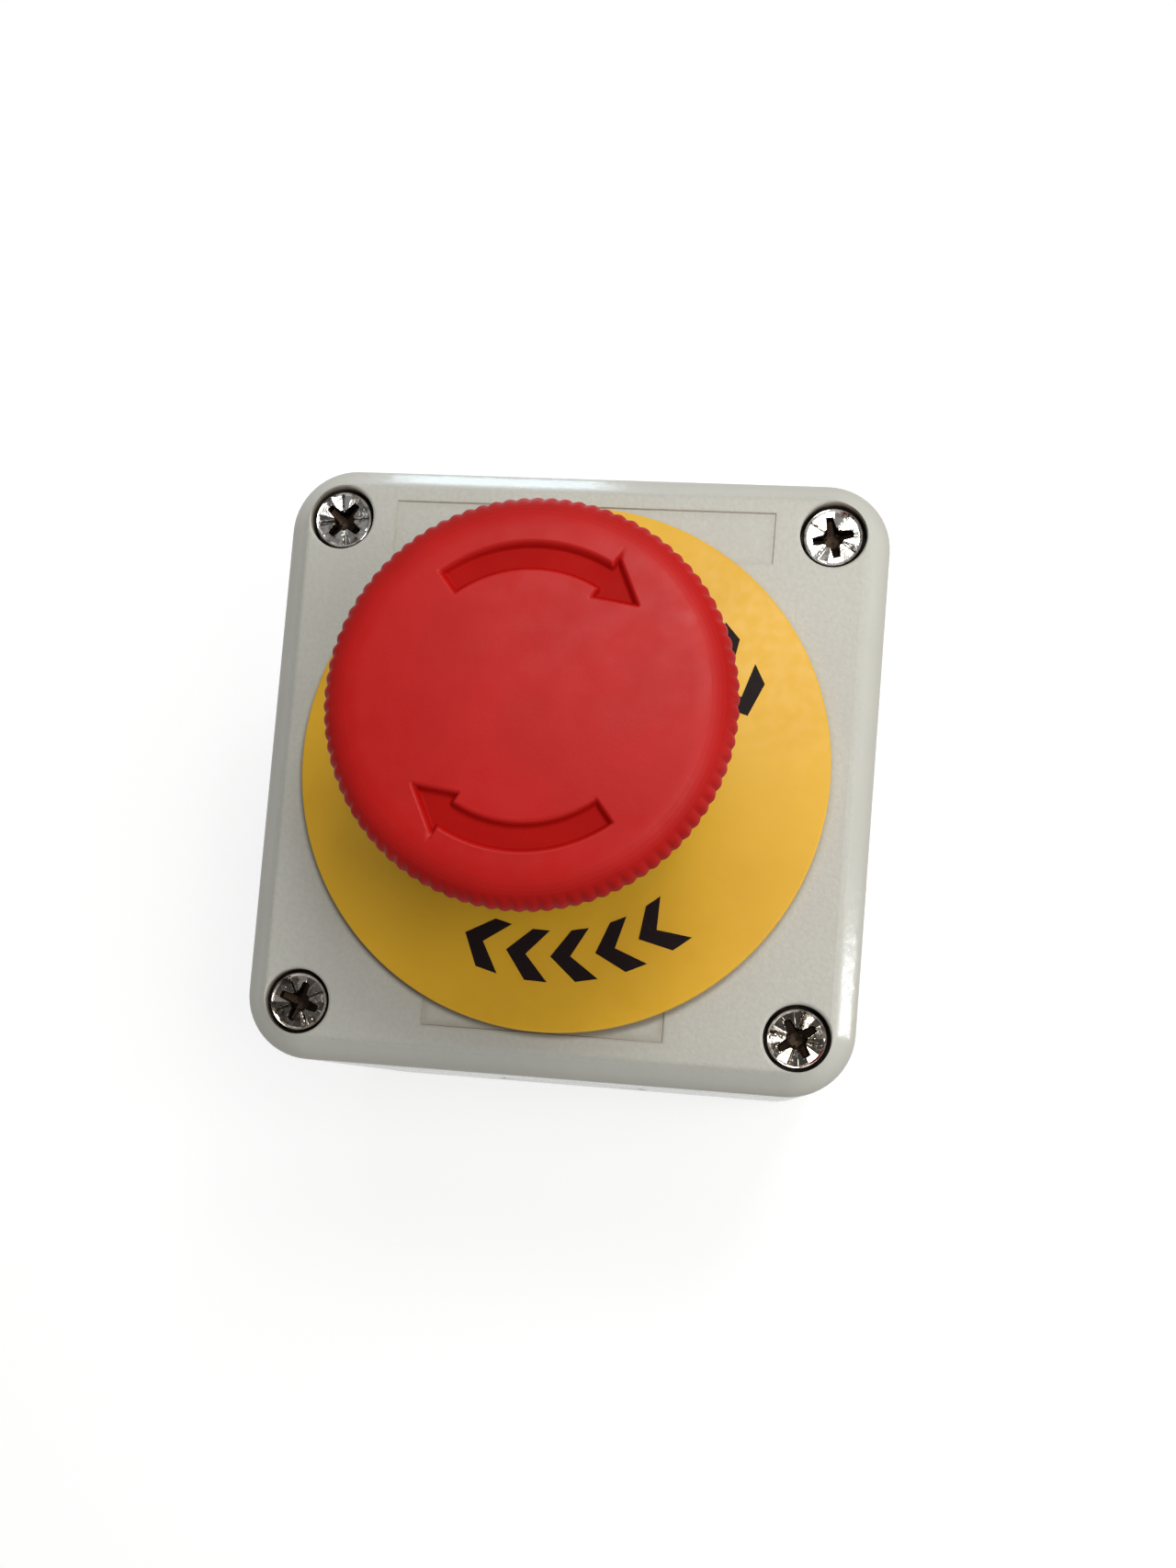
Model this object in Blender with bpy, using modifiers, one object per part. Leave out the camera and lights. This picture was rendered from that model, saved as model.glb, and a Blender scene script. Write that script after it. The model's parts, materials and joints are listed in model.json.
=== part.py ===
"""Emergency stop push button in a one-hole control station.

The station lies on its back: its back face is at z = 0, and the red mushroom head points up.
Run it with blender --background --python part.py, or from the text editor. Units are metres.
"""

import math

import bmesh
import bpy
from mathutils import Matrix, Vector

# Clearances
GAP = 0.0003                    # between pieces that touch, slide or turn on each other
OVERRUN = 0.002                 # how far a cut runs past the face that it opens
ACROSS = 4                      # times a radius: a cut this long runs right across a round piece

# Box and cover
BOX_SIDE = 0.070
BOX_CORNER = 0.0075
SHELL_WALL = 0.0028
FACE_BEVEL = 0.0026             # slope round the front face
COVER_HEIGHT = 0.013
REAR_SPACE = 0.0036             # wiring room behind the contact blocks
SCREW_INSET = 0.00655           # from the outer walls to the axis of each cover screw
BOSS_RADIUS = 0.0045
RIM_GROOVE_INSET = 0.0007
RIM_GROOVE_WIDTH = 0.0014
RIM_GROOVE_DEPTH = 0.0015
SLOT_INSET = 0.011              # from the outer wall to the middle of each wall slot
SLOT_WIDTH = 0.0045
SLOT_LENGTH = 0.009
SLOT_FLAT = 0.00005             # what its round ends leave of half its width
KNOCKOUT_RADIUS = 0.010         # cable entries in the upper and lower wall
KNOCKOUT_HEIGHT = 0.020
KNOCKOUT_GROOVE = 0.0008
KNOCKOUT_DEPTH = 0.0016
RECESS_DEPTH = 0.0005           # shallow label fields in the front face
TOP_FIELD = (0.0436, 0.0057)
TOP_FIELD_INSET = 0.00735       # from the outer wall to the middle of the field
LOW_FIELD = (0.0272, 0.0100)
LOW_FIELD_INSET = 0.0100

# Cover screws
SCREW_HEAD_RADIUS = 0.0034
SCREW_HEAD_HEIGHT = 0.0022
SCREW_RADIUS = 0.0020
SCREW_LENGTH = 0.018
SCREW_CHAMFER = 0.0004
COUNTERBORE_RADIUS = 0.00375
COUNTERBORE_DEPTH = 0.0034
SCREW_TURNS = (14.0, 52.0, 71.0, 33.0)      # how far each screw is turned, in degrees
CROSS_SPAN = 0.0044
CROSS_WIDTH = 0.0010
CROSS_TAPER = 0.0001            # how much narrower each arm is at its end
CROSS_DEPTH = 0.0012

# Legend disc, panel seal and bush
LEGEND_RADIUS = 0.030
LEGEND_THICK = 0.0010
PANEL_SEAL_INSET = 0.00025      # from the edge of the flange
PANEL_SEAL_THICK = 0.0010
THREAD_RADIUS = 0.0110          # 22 mm panel hole
FLANGE_LIP = 0.0034             # how far the flange reaches past the thread
FLANGE_THICK = 0.0025
CONE_FLARE = 0.0010             # how much wider the cone is at its foot
BUSH_CHAMFER = 0.0006
SEAL_SEAT_RISE = 0.0081         # from under the flange to the seat of the wiper seal
SEAL_THICK = 0.0016
SEAL_WIDTH = 0.0021
SEAL_WALL = 0.0012              # of the bush outside its wiper seal
BORE_DEPTH = 0.0150             # from the seal seat down to the spring ledge
KEY_WIDTH = 0.0024              # nib that stops the bush turning in the cover
KEY_REACH = 0.0014

# Nut, latch spring and collar
NUT_WALL = 0.0030               # from the thread to each flat
NUT_SIDES = 6
NUT_HEIGHT = 0.0050
LATCH_WIRE = 0.0010
LATCH_OVER = 0.0019
LATCH_UNDER = 0.0008
LATCH_LEG = 0.0130              # how far the legs reach past the axis
RING_WALL = 0.0037
RING_HEIGHT = 0.0050
COLLAR_WALL = 0.0020
GRUB_RADIUS = 0.0013
HOOK_THICK = 0.0012
HOOK_WIDTH = 0.0050
HOOK_REACH = 0.0009
HOOK_HEIGHT = 0.0012
HOOK_RISE = 0.0030              # from the top of a contact block to the nose of its hook

# Sliding sleeve, foot and springs
TRAVEL = 0.0055
STEM_DEPTH = 0.0070             # from the crest of the bush's thread in to the stem
GUIDE_WALL = 0.0027
GUIDE_FLANGE_THICK = 0.0015
GUIDE_KEY_WIDTH = 0.0025
GUIDE_KEY_REACH = 0.0010
GUIDE_KEY_HEIGHT = 0.0050
GUIDE_KEY_DROP = 0.0030
FOOT_SPACE = 0.0013             # between the foot and the bore of the collar
FOOT_THICK = 0.0030
FOOT_SOCKET = 0.0014
RETURN_WIRE = 0.0009
RETURN_LENGTH = 0.0109
RETURN_TURNS = 4.5
RELEASE_WIRE = 0.0008
RELEASE_SPACE = 0.0009          # between the stem and the release spring
RELEASE_TURNS = 3.0
RELEASE_PITCH = 0.0013

# Mushroom head
HUB_WALL = 0.0014
HUB_SPACE = 0.0004              # radial room between the hub and the bore
HUB_LENGTH = 0.0152
HUB_BORE_DEPTH = 0.0097
SOCKET_DEPTH = 0.0048
CAP_RADIUS = 0.0200
RIM_RADIUS = 0.0178
RIM_WALL = 0.0022
SKIRT_DEPTH = 0.0095
CROWN_THICK = 0.0038
CROWN_FILLET = 0.0028
DOME_RISE = 0.0005
DOME_SHOULDER = 0.6             # where the dome's second ring lies, as a share of its radius
KNURL_PITCH = 0.0014
KNURL_DEPTH = 0.00042
GROOVE_SHARE = 0.46             # how much of the pitch lies on either side of a groove's middle
CAP_RIBS = 6
CAP_RIB_THICK = 0.0012
CAP_RIB_DEPTH = 0.0030
CAP_RIB_START = 19.0            # degrees from +X
ARROW_RADIUS = 0.01338
ARROW_WIDTH = 0.00265
ARROW_HEAD_WIDTH = 0.0047
ARROW_DEPTH = 0.0007
ARROW_TAIL = 128.5              # degrees from +X
ARROW_NECK = 60.5
ARROW_TIP = 42.0
NOTCH_DEPTH = 0.0008
CLIP_GROOVE = 0.0008
CLIP_THICK = 0.0008
CLIP_REACH = 0.0020             # of the clip out past the stem

# Contact blocks
BLOCK_WIDTH = 0.0104
BLOCK_LENGTH = 0.032
BLOCK_HEIGHT = 0.0216
BLOCK_WALL = 0.0012
PLATE_THICK = 0.0008
CHAMBER_LENGTH = 0.0052         # each terminal chamber, along Y
CHAMBER_RIB = 0.0008
STRIP_WIDTH = 0.0050
STRIP_THICK = 0.0008
TIP_RADIUS = 0.0009
TIP_HEIGHT = 0.0006
BRIDGE_WIDTH = 0.0034
BRIDGE_THICK = 0.0008
BRIDGE_SPACE = 0.0006           # from each end of the bridge to the rib
TIP_INSET = 0.0013              # from each end of the bridge to the axis of its tip
STRIP_OVERLAP = 0.0012          # how far a strip reaches in past its tip
CARRIER_WIDTH = 0.0060
CARRIER_LENGTH = 0.0052
CARRIER_WEB = 0.0015
NC_STRIP_DROP = 0.0043          # from the top of the block
NO_BRIDGE_DROP = 0.0042
PEG_RADIUS = 0.0016
PEG_LENGTH = 0.0020
CARRIER_WIRE = 0.0005
CARRIER_TURNS = 4.0
CLAMP_SIDE = 0.0046
CLAMP_THICK = 0.0008
TERMINAL_RADIUS = 0.0014
TERMINAL_HEAD_RADIUS = 0.0022
TERMINAL_HEAD_HEIGHT = 0.0018
TERMINAL_PROUD = 0.0013
WIRE_PORT = (0.0050, 0.0040)
DRIVER_HOLE_RADIUS = 0.0024

# Roundness
FINE_STEPS = 48
ROUND_STEPS = 32
PLAIN_STEPS = 24
SMALL_STEPS = 12
CORNER_STEPS = 5
ARROW_STEPS = 10
BOW_STEPS = 8
FILLET_STEPS = 3
EDGE_STEPS = 2
WIRE_STEPS = 1
SQUARE_STEPS = 4
ROUND_PROFILE = 0.5
EDGE_PROFILE = 0.6              # fuller than round, for moulded edges
SHARP_ANGLE = 32.0              # degrees between faces from which an edge shows
COIL_SAG = 0.0002               # how far a coil's flats may stray inside its true radius
WELD = 0.00001                  # points closer than this are one point
FACES_ALONG = 0.5               # least share of a normal along Z for a face to look that way
EMPTY_SIZE = 0.01

# Radii worked out from the thread in to the stem, and from the stem outwards
STEM_RADIUS = THREAD_RADIUS - STEM_DEPTH
CLIP_RADIUS = STEM_RADIUS + CLIP_REACH
GUIDE_BORE_RADIUS = STEM_RADIUS + GAP
GUIDE_RADIUS = GUIDE_BORE_RADIUS + GUIDE_WALL
RETURN_RADIUS = GUIDE_RADIUS + GAP + RETURN_WIRE / 2
BORE_RADIUS = RETURN_RADIUS + RETURN_WIRE / 2 + GAP
LOWER_BORE_RADIUS = GUIDE_RADIUS + GAP
GUIDE_FLANGE_RADIUS = BORE_RADIUS - GAP
HUB_RADIUS = BORE_RADIUS - HUB_SPACE
RELEASE_RADIUS = STEM_RADIUS + RELEASE_SPACE + RELEASE_WIRE / 2
SEAL_INNER_RADIUS = HUB_RADIUS + GAP
SEAL_OUTER_RADIUS = SEAL_INNER_RADIUS + SEAL_WIDTH
BUSH_TOP_RADIUS = SEAL_OUTER_RADIUS + GAP + SEAL_WALL
NECK_RADIUS = BUSH_TOP_RADIUS + CONE_FLARE
FLANGE_RADIUS = THREAD_RADIUS + FLANGE_LIP
PANEL_SEAL_RADIUS = FLANGE_RADIUS - PANEL_SEAL_INSET
PANEL_HOLE_RADIUS = THREAD_RADIUS + GAP
RING_RADIUS = PANEL_HOLE_RADIUS + RING_WALL
FOOT_RADIUS = PANEL_HOLE_RADIUS - FOOT_SPACE
LATCH_X = STEM_RADIUS + GAP + LATCH_WIRE / 2

# Spacings worked out from the box, the thread and the blocks
SCREW_PITCH = BOX_SIDE - 2 * SCREW_INSET
SLOT_PITCH = BOX_SIDE - 2 * SLOT_INSET
TOP_FIELD_Y = BOX_SIDE / 2 - TOP_FIELD_INSET
LOW_FIELD_Y = LOW_FIELD_INSET - BOX_SIDE / 2
COLLAR_WIDTH = 2 * (PANEL_HOLE_RADIUS + COLLAR_WALL)
COLLAR_LENGTH = BLOCK_LENGTH - 2 * (HOOK_THICK + GAP)

# Heights worked out from the back face up to the head
BLOCK_BOTTOM_Z = SHELL_WALL + REAR_SPACE
BLOCK_TOP_Z = BLOCK_BOTTOM_Z + BLOCK_HEIGHT
COLLAR_BOTTOM_Z = BLOCK_TOP_Z + GAP
FOOT_BOTTOM_Z = COLLAR_BOTTOM_Z + GAP + TRAVEL
FOOT_TOP_Z = FOOT_BOTTOM_Z + FOOT_THICK
BUSH_BOTTOM_Z = FOOT_TOP_Z + GAP
RING_BOTTOM_Z = BUSH_BOTTOM_Z + GAP
COLLAR_TOP_Z = RING_BOTTOM_Z + RING_HEIGHT
LATCH_Z = COLLAR_TOP_Z + LATCH_UNDER + LATCH_WIRE / 2
NUT_BOTTOM_Z = LATCH_Z + LATCH_WIRE / 2 + LATCH_OVER
NUT_TOP_Z = NUT_BOTTOM_Z + NUT_HEIGHT
COVER_UNDER_Z = NUT_TOP_Z + GAP
LID_Z = COVER_UNDER_Z + SHELL_WALL
COVER_BOTTOM_Z = LID_Z - COVER_HEIGHT
BASE_TOP_Z = COVER_BOTTOM_Z - GAP
SCREW_SEAT_Z = LID_Z - COUNTERBORE_DEPTH
LEGEND_Z = LID_Z + GAP
PANEL_SEAL_Z = LEGEND_Z + LEGEND_THICK + GAP
FLANGE_Z = PANEL_SEAL_Z + PANEL_SEAL_THICK + GAP
SEAL_SEAT_Z = FLANGE_Z + SEAL_SEAT_RISE
BUSH_TOP_Z = SEAL_SEAT_Z + GAP + SEAL_THICK + GAP
LEDGE_Z = SEAL_SEAT_Z - BORE_DEPTH
RETURN_BOTTOM_Z = LEDGE_Z + GAP
RETURN_TOP_Z = RETURN_BOTTOM_Z + RETURN_LENGTH
GUIDE_FLANGE_Z = RETURN_TOP_Z + GAP
GUIDE_TOP_Z = GUIDE_FLANGE_Z + GUIDE_FLANGE_THICK
GUIDE_BOTTOM_Z = FOOT_TOP_Z - FOOT_SOCKET + GAP
HUB_BOTTOM_Z = GUIDE_TOP_Z + GAP
CEILING_Z = HUB_BOTTOM_Z + HUB_LENGTH
SOCKET_BOTTOM_Z = HUB_BOTTOM_Z + HUB_BORE_DEPTH
SOCKET_TOP_Z = SOCKET_BOTTOM_Z + SOCKET_DEPTH
RIM_Z = CEILING_Z - SKIRT_DEPTH
FACE_Z = CEILING_Z + CROWN_THICK
KNURL_TOP_Z = FACE_Z - CROWN_FILLET
STEM_TOP_Z = SOCKET_TOP_Z - GAP
CLIP_TOP_Z = GUIDE_BOTTOM_Z - GAP
CLIP_BOTTOM_Z = CLIP_TOP_Z - CLIP_THICK
STEM_BOTTOM_Z = CLIP_BOTTOM_Z - 2 * GAP
CARRIER_TOP_Z = FOOT_BOTTOM_Z - GAP

# Places in a contact block, measured from its own axis
BLOCK_X = BLOCK_WIDTH / 2 + GAP / 2
HOUSING_INNER_X = -BLOCK_WIDTH / 2
HOUSING_OUTER_X = BLOCK_WIDTH / 2 - PLATE_THICK - GAP
END_WALL_Y = BLOCK_LENGTH / 2 - BLOCK_WALL
CHAMBER_Y = END_WALL_Y - CHAMBER_LENGTH / 2
RIB_OUTER_Y = END_WALL_Y - CHAMBER_LENGTH
CENTRE_HALF_LENGTH = RIB_OUTER_Y - CHAMBER_RIB
FLOOR_Z = BLOCK_BOTTOM_Z + BLOCK_WALL
BLOCK_CEILING_Z = BLOCK_TOP_Z - BLOCK_WALL
NC_STRIP_TOP_Z = BLOCK_TOP_Z - NC_STRIP_DROP
NC_BRIDGE_TOP_Z = NC_STRIP_TOP_Z - STRIP_THICK - TIP_HEIGHT - GAP
NO_BRIDGE_TOP_Z = BLOCK_TOP_Z - NO_BRIDGE_DROP
NO_TIP_TOP_Z = NO_BRIDGE_TOP_Z - BRIDGE_THICK - TIP_HEIGHT - TRAVEL - GAP
NO_STRIP_TOP_Z = NO_TIP_TOP_Z - TIP_HEIGHT
BRIDGE_LENGTH = 2 * (CENTRE_HALF_LENGTH - BRIDGE_SPACE)
TIP_SPACING = BRIDGE_LENGTH - 2 * TIP_INSET

# Finishes: colour, roughness, metallic
GREY_PLASTIC = ((0.55, 0.54, 0.50), 0.45, 0.0)
RED_PLASTIC = ((0.56, 0.04, 0.05), 0.38, 0.0)
YELLOW_PLASTIC = ((0.79, 0.48, 0.10), 0.42, 0.0)
BLACK_PLASTIC = ((0.02, 0.02, 0.02), 0.50, 0.0)
WHITE_PLASTIC = ((0.75, 0.74, 0.70), 0.50, 0.0)
GREEN_PLASTIC = ((0.05, 0.30, 0.12), 0.50, 0.0)
CLEAR_PLASTIC = ((0.50, 0.50, 0.48), 0.30, 0.0)
RUBBER = ((0.03, 0.03, 0.03), 0.80, 0.0)
NICKEL = ((0.72, 0.71, 0.69), 0.22, 1.0)
STEEL = ((0.50, 0.50, 0.52), 0.30, 1.0)
BRASS = ((0.78, 0.60, 0.28), 0.30, 1.0)
DIE_CAST = ((0.60, 0.60, 0.62), 0.45, 1.0)


def clear_scene():
    """Remove whatever the open file holds."""
    for item in list(bpy.data.objects):
        bpy.data.objects.remove(item, do_unlink=True)


def new_collection(name):
    """A collection linked to the scene."""
    group = bpy.data.collections.new(name)
    bpy.context.scene.collection.children.link(group)
    return group


clear_scene()
PARTS = new_collection("emergency_stop_button")
CUTTERS = new_collection("cutters")


# Building blocks

def place(name, mesh, location=(0.0, 0.0, 0.0)):
    """Put a mesh or curve into the scene as a named part."""
    item = bpy.data.objects.new(name, mesh)
    item.location = location
    PARTS.objects.link(item)
    return item


def as_tool(item):
    """Keep an object only as a tool that cuts or joins others."""
    PARTS.objects.unlink(item)
    CUTTERS.objects.link(item)
    item.hide_render = True
    item.display_type = 'WIRE'
    return item


def boolean(target, tool, operation):
    """Add a Boolean that the finished part keeps."""
    step = target.modifiers.new(tool.name, 'BOOLEAN')
    step.operation = operation
    step.solver = 'EXACT'
    step.object = tool


def cut(target, tool):
    boolean(target, as_tool(tool), 'DIFFERENCE')


def join(target, tool):
    boolean(target, as_tool(tool), 'UNION')


def mesh_from(bm, name):
    """Turn a bmesh into a mesh and free it."""
    mesh = bpy.data.meshes.new(name)
    bm.to_mesh(mesh)
    bm.free()
    return mesh


def baked_mesh(item):
    """The mesh that an object has once its modifiers or its curve are evaluated."""
    bpy.context.view_layer.update()
    evaluated = item.evaluated_get(bpy.context.evaluated_depsgraph_get())
    return bpy.data.meshes.new_from_object(evaluated)


def finish(item, look):
    """Give a part its shading and its own material, once it has its shape."""
    if item.type == 'MESH':
        mesh = baked_mesh(item)
        item.modifiers.clear()
        item.data = mesh
        mesh.shade_smooth()
        mesh.set_sharp_from_angle(angle=math.radians(SHARP_ANGLE))
    colour, roughness, metallic = look
    finish_material = bpy.data.materials.new(item.name)
    finish_material.use_nodes = True
    shader = finish_material.node_tree.nodes["Principled BSDF"]
    shader.inputs["Base Color"].default_value = (*colour, 1.0)
    shader.inputs["Roughness"].default_value = roughness
    shader.inputs["Metallic"].default_value = metallic
    item.data.materials.clear()
    item.data.materials.append(finish_material)
    return item


def block_bmesh(size, corner=0.0, steps=CORNER_STEPS):
    """A box about its own centre, with its upright edges rounded."""
    bm = bmesh.new()
    bmesh.ops.create_cube(bm, size=1.0)
    bmesh.ops.scale(bm, vec=Vector(size), verts=bm.verts)
    if corner > 0.0:
        upright = [edge for edge in bm.edges if abs(edge.verts[0].co.z - edge.verts[1].co.z) > size[2] / 2]
        bmesh.ops.bevel(bm, geom=upright, offset=corner, segments=steps, profile=ROUND_PROFILE,
                         affect='EDGES')
    return bm


def block(name, x, y, z, corner=0.0, steps=CORNER_STEPS):
    """A box between two limits along each axis, with its upright edges rounded."""
    size = (x[1] - x[0], y[1] - y[0], z[1] - z[0])
    middle = ((x[0] + x[1]) / 2, (y[0] + y[1]) / 2, (z[0] + z[1]) / 2)
    return place(name, mesh_from(block_bmesh(size, corner, steps), name), middle)


def blocks(name, size, centres):
    """Several equal boxes that don't touch, as one object."""
    bm = bmesh.new()
    for centre in centres:
        made = bmesh.ops.create_cube(bm, size=1.0)["verts"]
        bmesh.ops.scale(bm, vec=Vector(size), verts=made)
        bmesh.ops.translate(bm, vec=Vector(centre), verts=made)
    return place(name, mesh_from(bm, name))


def rods(name, radius, bottom, top, spots, steps=SMALL_STEPS):
    """Upright cylinders that don't touch, as one object."""
    bm = bmesh.new()
    for x, y in spots:
        shift = Matrix.Translation((x, y, (bottom + top) / 2))
        bmesh.ops.create_cone(bm, cap_ends=True, segments=steps, radius1=radius, radius2=radius,
                              depth=top - bottom, matrix=shift)
    return place(name, mesh_from(bm, name))


def turned(name, profile, base=0.0, steps=ROUND_STEPS, closed=True):
    """A turned piece. The profile runs down its outer side and back up its inner side."""
    bm = bmesh.new()
    points = [bm.verts.new((radius, 0.0, height - base)) for radius, height in profile]
    for first, second in zip(points, points[1:]):
        bm.edges.new((first, second))
    if closed:
        bm.edges.new((points[-1], points[0]))
    item = place(name, mesh_from(bm, name), (0.0, 0.0, base))
    spin = item.modifiers.new("turn", 'SCREW')
    spin.axis = 'Z'
    spin.screw_offset = 0.0
    spin.steps = steps
    spin.render_steps = steps
    spin.use_merge_vertices = True
    spin.merge_threshold = WELD
    return item


def ring(name, inner, outer, bottom, top, steps=ROUND_STEPS):
    """A plain turned ring."""
    return turned(name, [(outer, top), (outer, bottom), (inner, bottom), (inner, top)], bottom, steps)


def frame_ring(name, side, corner, width, bottom, top):
    """A rounded square ring: the upright faces of a block, thickened inwards."""
    bm = block_bmesh((side, side, top - bottom), corner)
    caps = [face for face in bm.faces if abs(face.normal.z) > FACES_ALONG]
    bmesh.ops.delete(bm, geom=caps, context='FACES_ONLY')
    item = place(name, mesh_from(bm, name), (0.0, 0.0, (bottom + top) / 2))
    wall = item.modifiers.new("wall", 'SOLIDIFY')
    wall.thickness = width
    wall.offset = -1.0
    wall.use_even_offset = True
    return item


def moulded_shell(name, bottom, top, closed_side, edge):
    """An open box moulded with an even wall: closed_side is 1 for a lid and -1 for a base."""
    bm = block_bmesh((BOX_SIDE, BOX_SIDE, top - bottom), BOX_CORNER)
    bm.faces.ensure_lookup_table()
    face = max(bm.faces, key=lambda one: one.calc_center_median().z * closed_side)
    bmesh.ops.bevel(bm, geom=list(face.edges), offset=edge, segments=EDGE_STEPS, profile=EDGE_PROFILE,
                     affect='EDGES')
    opening = [one for one in bm.faces if one.normal.z * closed_side < -FACES_ALONG]
    bmesh.ops.delete(bm, geom=opening, context='FACES_ONLY')
    item = place(name, mesh_from(bm, name), (0.0, 0.0, (bottom + top) / 2))
    wall = item.modifiers.new("wall", 'SOLIDIFY')
    wall.thickness = SHELL_WALL
    wall.offset = -1.0
    wall.use_even_offset = True
    return item


def outline(name, points, bottom, top):
    """A flat outline with a thickness, as a mesh."""
    curve = bpy.data.curves.new(name, 'CURVE')
    curve.dimensions = '2D'
    curve.fill_mode = 'BOTH'
    curve.extrude = (top - bottom) / 2
    spline = curve.splines.new('POLY')
    spline.points.add(len(points) - 1)
    for point, (x, y) in zip(spline.points, points):
        point.co = (x, y, 0.0, 1.0)
    spline.use_cyclic_u = True
    item = place(name + "_curve", curve)
    bm = bmesh.new()
    bm.from_mesh(baked_mesh(item))
    bmesh.ops.remove_doubles(bm, verts=bm.verts, dist=WELD)
    bmesh.ops.translate(bm, vec=Vector((0.0, 0.0, (bottom + top) / 2)), verts=bm.verts)
    bpy.data.objects.remove(item)
    return place(name, mesh_from(bm, name))


def wire(name, points, thickness, location=(0.0, 0.0, 0.0)):
    """A round wire along points."""
    curve = bpy.data.curves.new(name, 'CURVE')
    curve.dimensions = '3D'
    curve.bevel_depth = thickness / 2
    curve.bevel_resolution = WIRE_STEPS
    curve.use_fill_caps = True
    spline = curve.splines.new('POLY')
    spline.points.add(len(points) - 1)
    for point, position in zip(spline.points, points):
        point.co = (*position, 1.0)
    return place(name, curve, location)


def coil_points(radius, pitch, turns, start):
    """Points along a coil about Z that begins at height start."""
    steps = math.ceil(math.pi / math.acos(1.0 - COIL_SAG / radius))
    points = []
    for step in range(round(turns * steps) + 1):
        turn = step / steps
        angle = math.tau * turn
        points.append((radius * math.cos(angle), radius * math.sin(angle), start + pitch * turn))
    return points


def compression_spring(name, radius, thickness, turns, bottom, top, x=0.0):
    """A coil spring that fills the height from bottom to top."""
    pitch = (top - bottom - thickness) / turns
    points = coil_points(radius, pitch, turns, thickness / 2)
    return wire(name, points, thickness, (x, 0.0, bottom))


def repeat(kind, item, places):
    """Equal pieces that share one finished mesh. Each place is a location and its rotation."""
    pieces = [item]
    pieces += [place(f"{kind}_{number}", item.data) for number in range(2, len(places) + 1)]
    for piece, (location, rotation) in zip(pieces, places):
        piece.location = location
        piece.rotation_euler = rotation
    return pieces


def attach(name, location, parts, parent=None):
    """Carry parts on an empty that stands on their joint's axis."""
    carrier = bpy.data.objects.new(name, None)
    carrier.location = location
    carrier.empty_display_size = EMPTY_SIZE
    PARTS.objects.link(carrier)
    for part in parts:
        part.parent = carrier
        part.location = part.location - carrier.location
    if parent is not None:
        carrier.parent = parent
        carrier.location = carrier.location - parent.location
    return carrier


def corner_spots(pitch):
    """The four corners of a square, in order round it."""
    half = pitch / 2
    return [(half, half), (-half, half), (-half, -half), (half, -half)]


# Box and cover

def base_box():
    """Deep rear box: even shell, corner bosses, rim groove, wall slots and two cable knockouts."""
    item = moulded_shell("base_box", 0.0, BASE_TOP_Z, -1, SHELL_WALL)
    spots = corner_spots(SCREW_PITCH)
    join(item, rods("base_bosses", BOSS_RADIUS, SHELL_WALL / 2, BASE_TOP_Z - GAP, spots))
    pilot_bottom = SCREW_SEAT_Z - SCREW_LENGTH - OVERRUN
    cut(item, rods("pilot_holes", SCREW_RADIUS + GAP, pilot_bottom, BASE_TOP_Z + OVERRUN, spots))
    groove_side = BOX_SIDE - 2 * RIM_GROOVE_INSET
    groove_bottom = BASE_TOP_Z - RIM_GROOVE_DEPTH
    cut(item, frame_ring("rim_groove", groove_side, BOX_CORNER - RIM_GROOVE_INSET, RIM_GROOVE_WIDTH,
                         groove_bottom, BASE_TOP_Z + OVERRUN))
    for sign, width, length in ((1, SLOT_LENGTH, SLOT_WIDTH), (-1, SLOT_WIDTH, SLOT_LENGTH)):
        middle = sign * SLOT_PITCH / 2
        cut(item, block("wall_slot", (-width / 2, width / 2), (middle - length / 2, middle + length / 2),
                        (-OVERRUN, SHELL_WALL + OVERRUN), SLOT_WIDTH / 2 - SLOT_FLAT, FILLET_STEPS))
    for sign in (1, -1):
        groove = ring("knockout_groove", KNOCKOUT_RADIUS - KNOCKOUT_GROOVE, KNOCKOUT_RADIUS,
                      -KNOCKOUT_DEPTH, OVERRUN, PLAIN_STEPS)
        groove.location = (0.0, sign * (BOX_SIDE / 2 - KNOCKOUT_DEPTH), KNOCKOUT_HEIGHT)
        groove.rotation_euler = (-sign * math.pi / 2, 0.0, 0.0)
        cut(item, groove)
    return finish(item, GREY_PLASTIC)


def cover():
    """Lid with bevelled face, corner bosses with counterbores, panel hole and label fields."""
    item = moulded_shell("cover", COVER_BOTTOM_Z, LID_Z, 1, FACE_BEVEL)
    spots = corner_spots(SCREW_PITCH)
    join(item, rods("cover_bosses", BOSS_RADIUS, COVER_BOTTOM_Z + GAP, LID_Z - SHELL_WALL / 2, spots))
    cut(item, rods("screw_holes", SCREW_RADIUS + GAP, COVER_BOTTOM_Z - OVERRUN, LID_Z, spots))
    cut(item, rods("counterbores", COUNTERBORE_RADIUS, SCREW_SEAT_Z, LID_Z + OVERRUN, spots,
                   ROUND_STEPS))
    cut(item, rods("panel_hole", PANEL_HOLE_RADIUS, COVER_UNDER_Z - OVERRUN, LID_Z + OVERRUN,
                   [(0.0, 0.0)], ROUND_STEPS))
    cut(item, key_notch("cover_notch", COVER_UNDER_Z, LID_Z))
    for name, size, y in (("top_field", TOP_FIELD, TOP_FIELD_Y), ("low_field", LOW_FIELD, LOW_FIELD_Y)):
        cut(item, block(name, (-size[0] / 2, size[0] / 2), (y - size[1] / 2, y + size[1] / 2),
                        (LID_Z - RECESS_DEPTH, LID_Z + OVERRUN)))
    return finish(item, GREY_PLASTIC)


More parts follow.
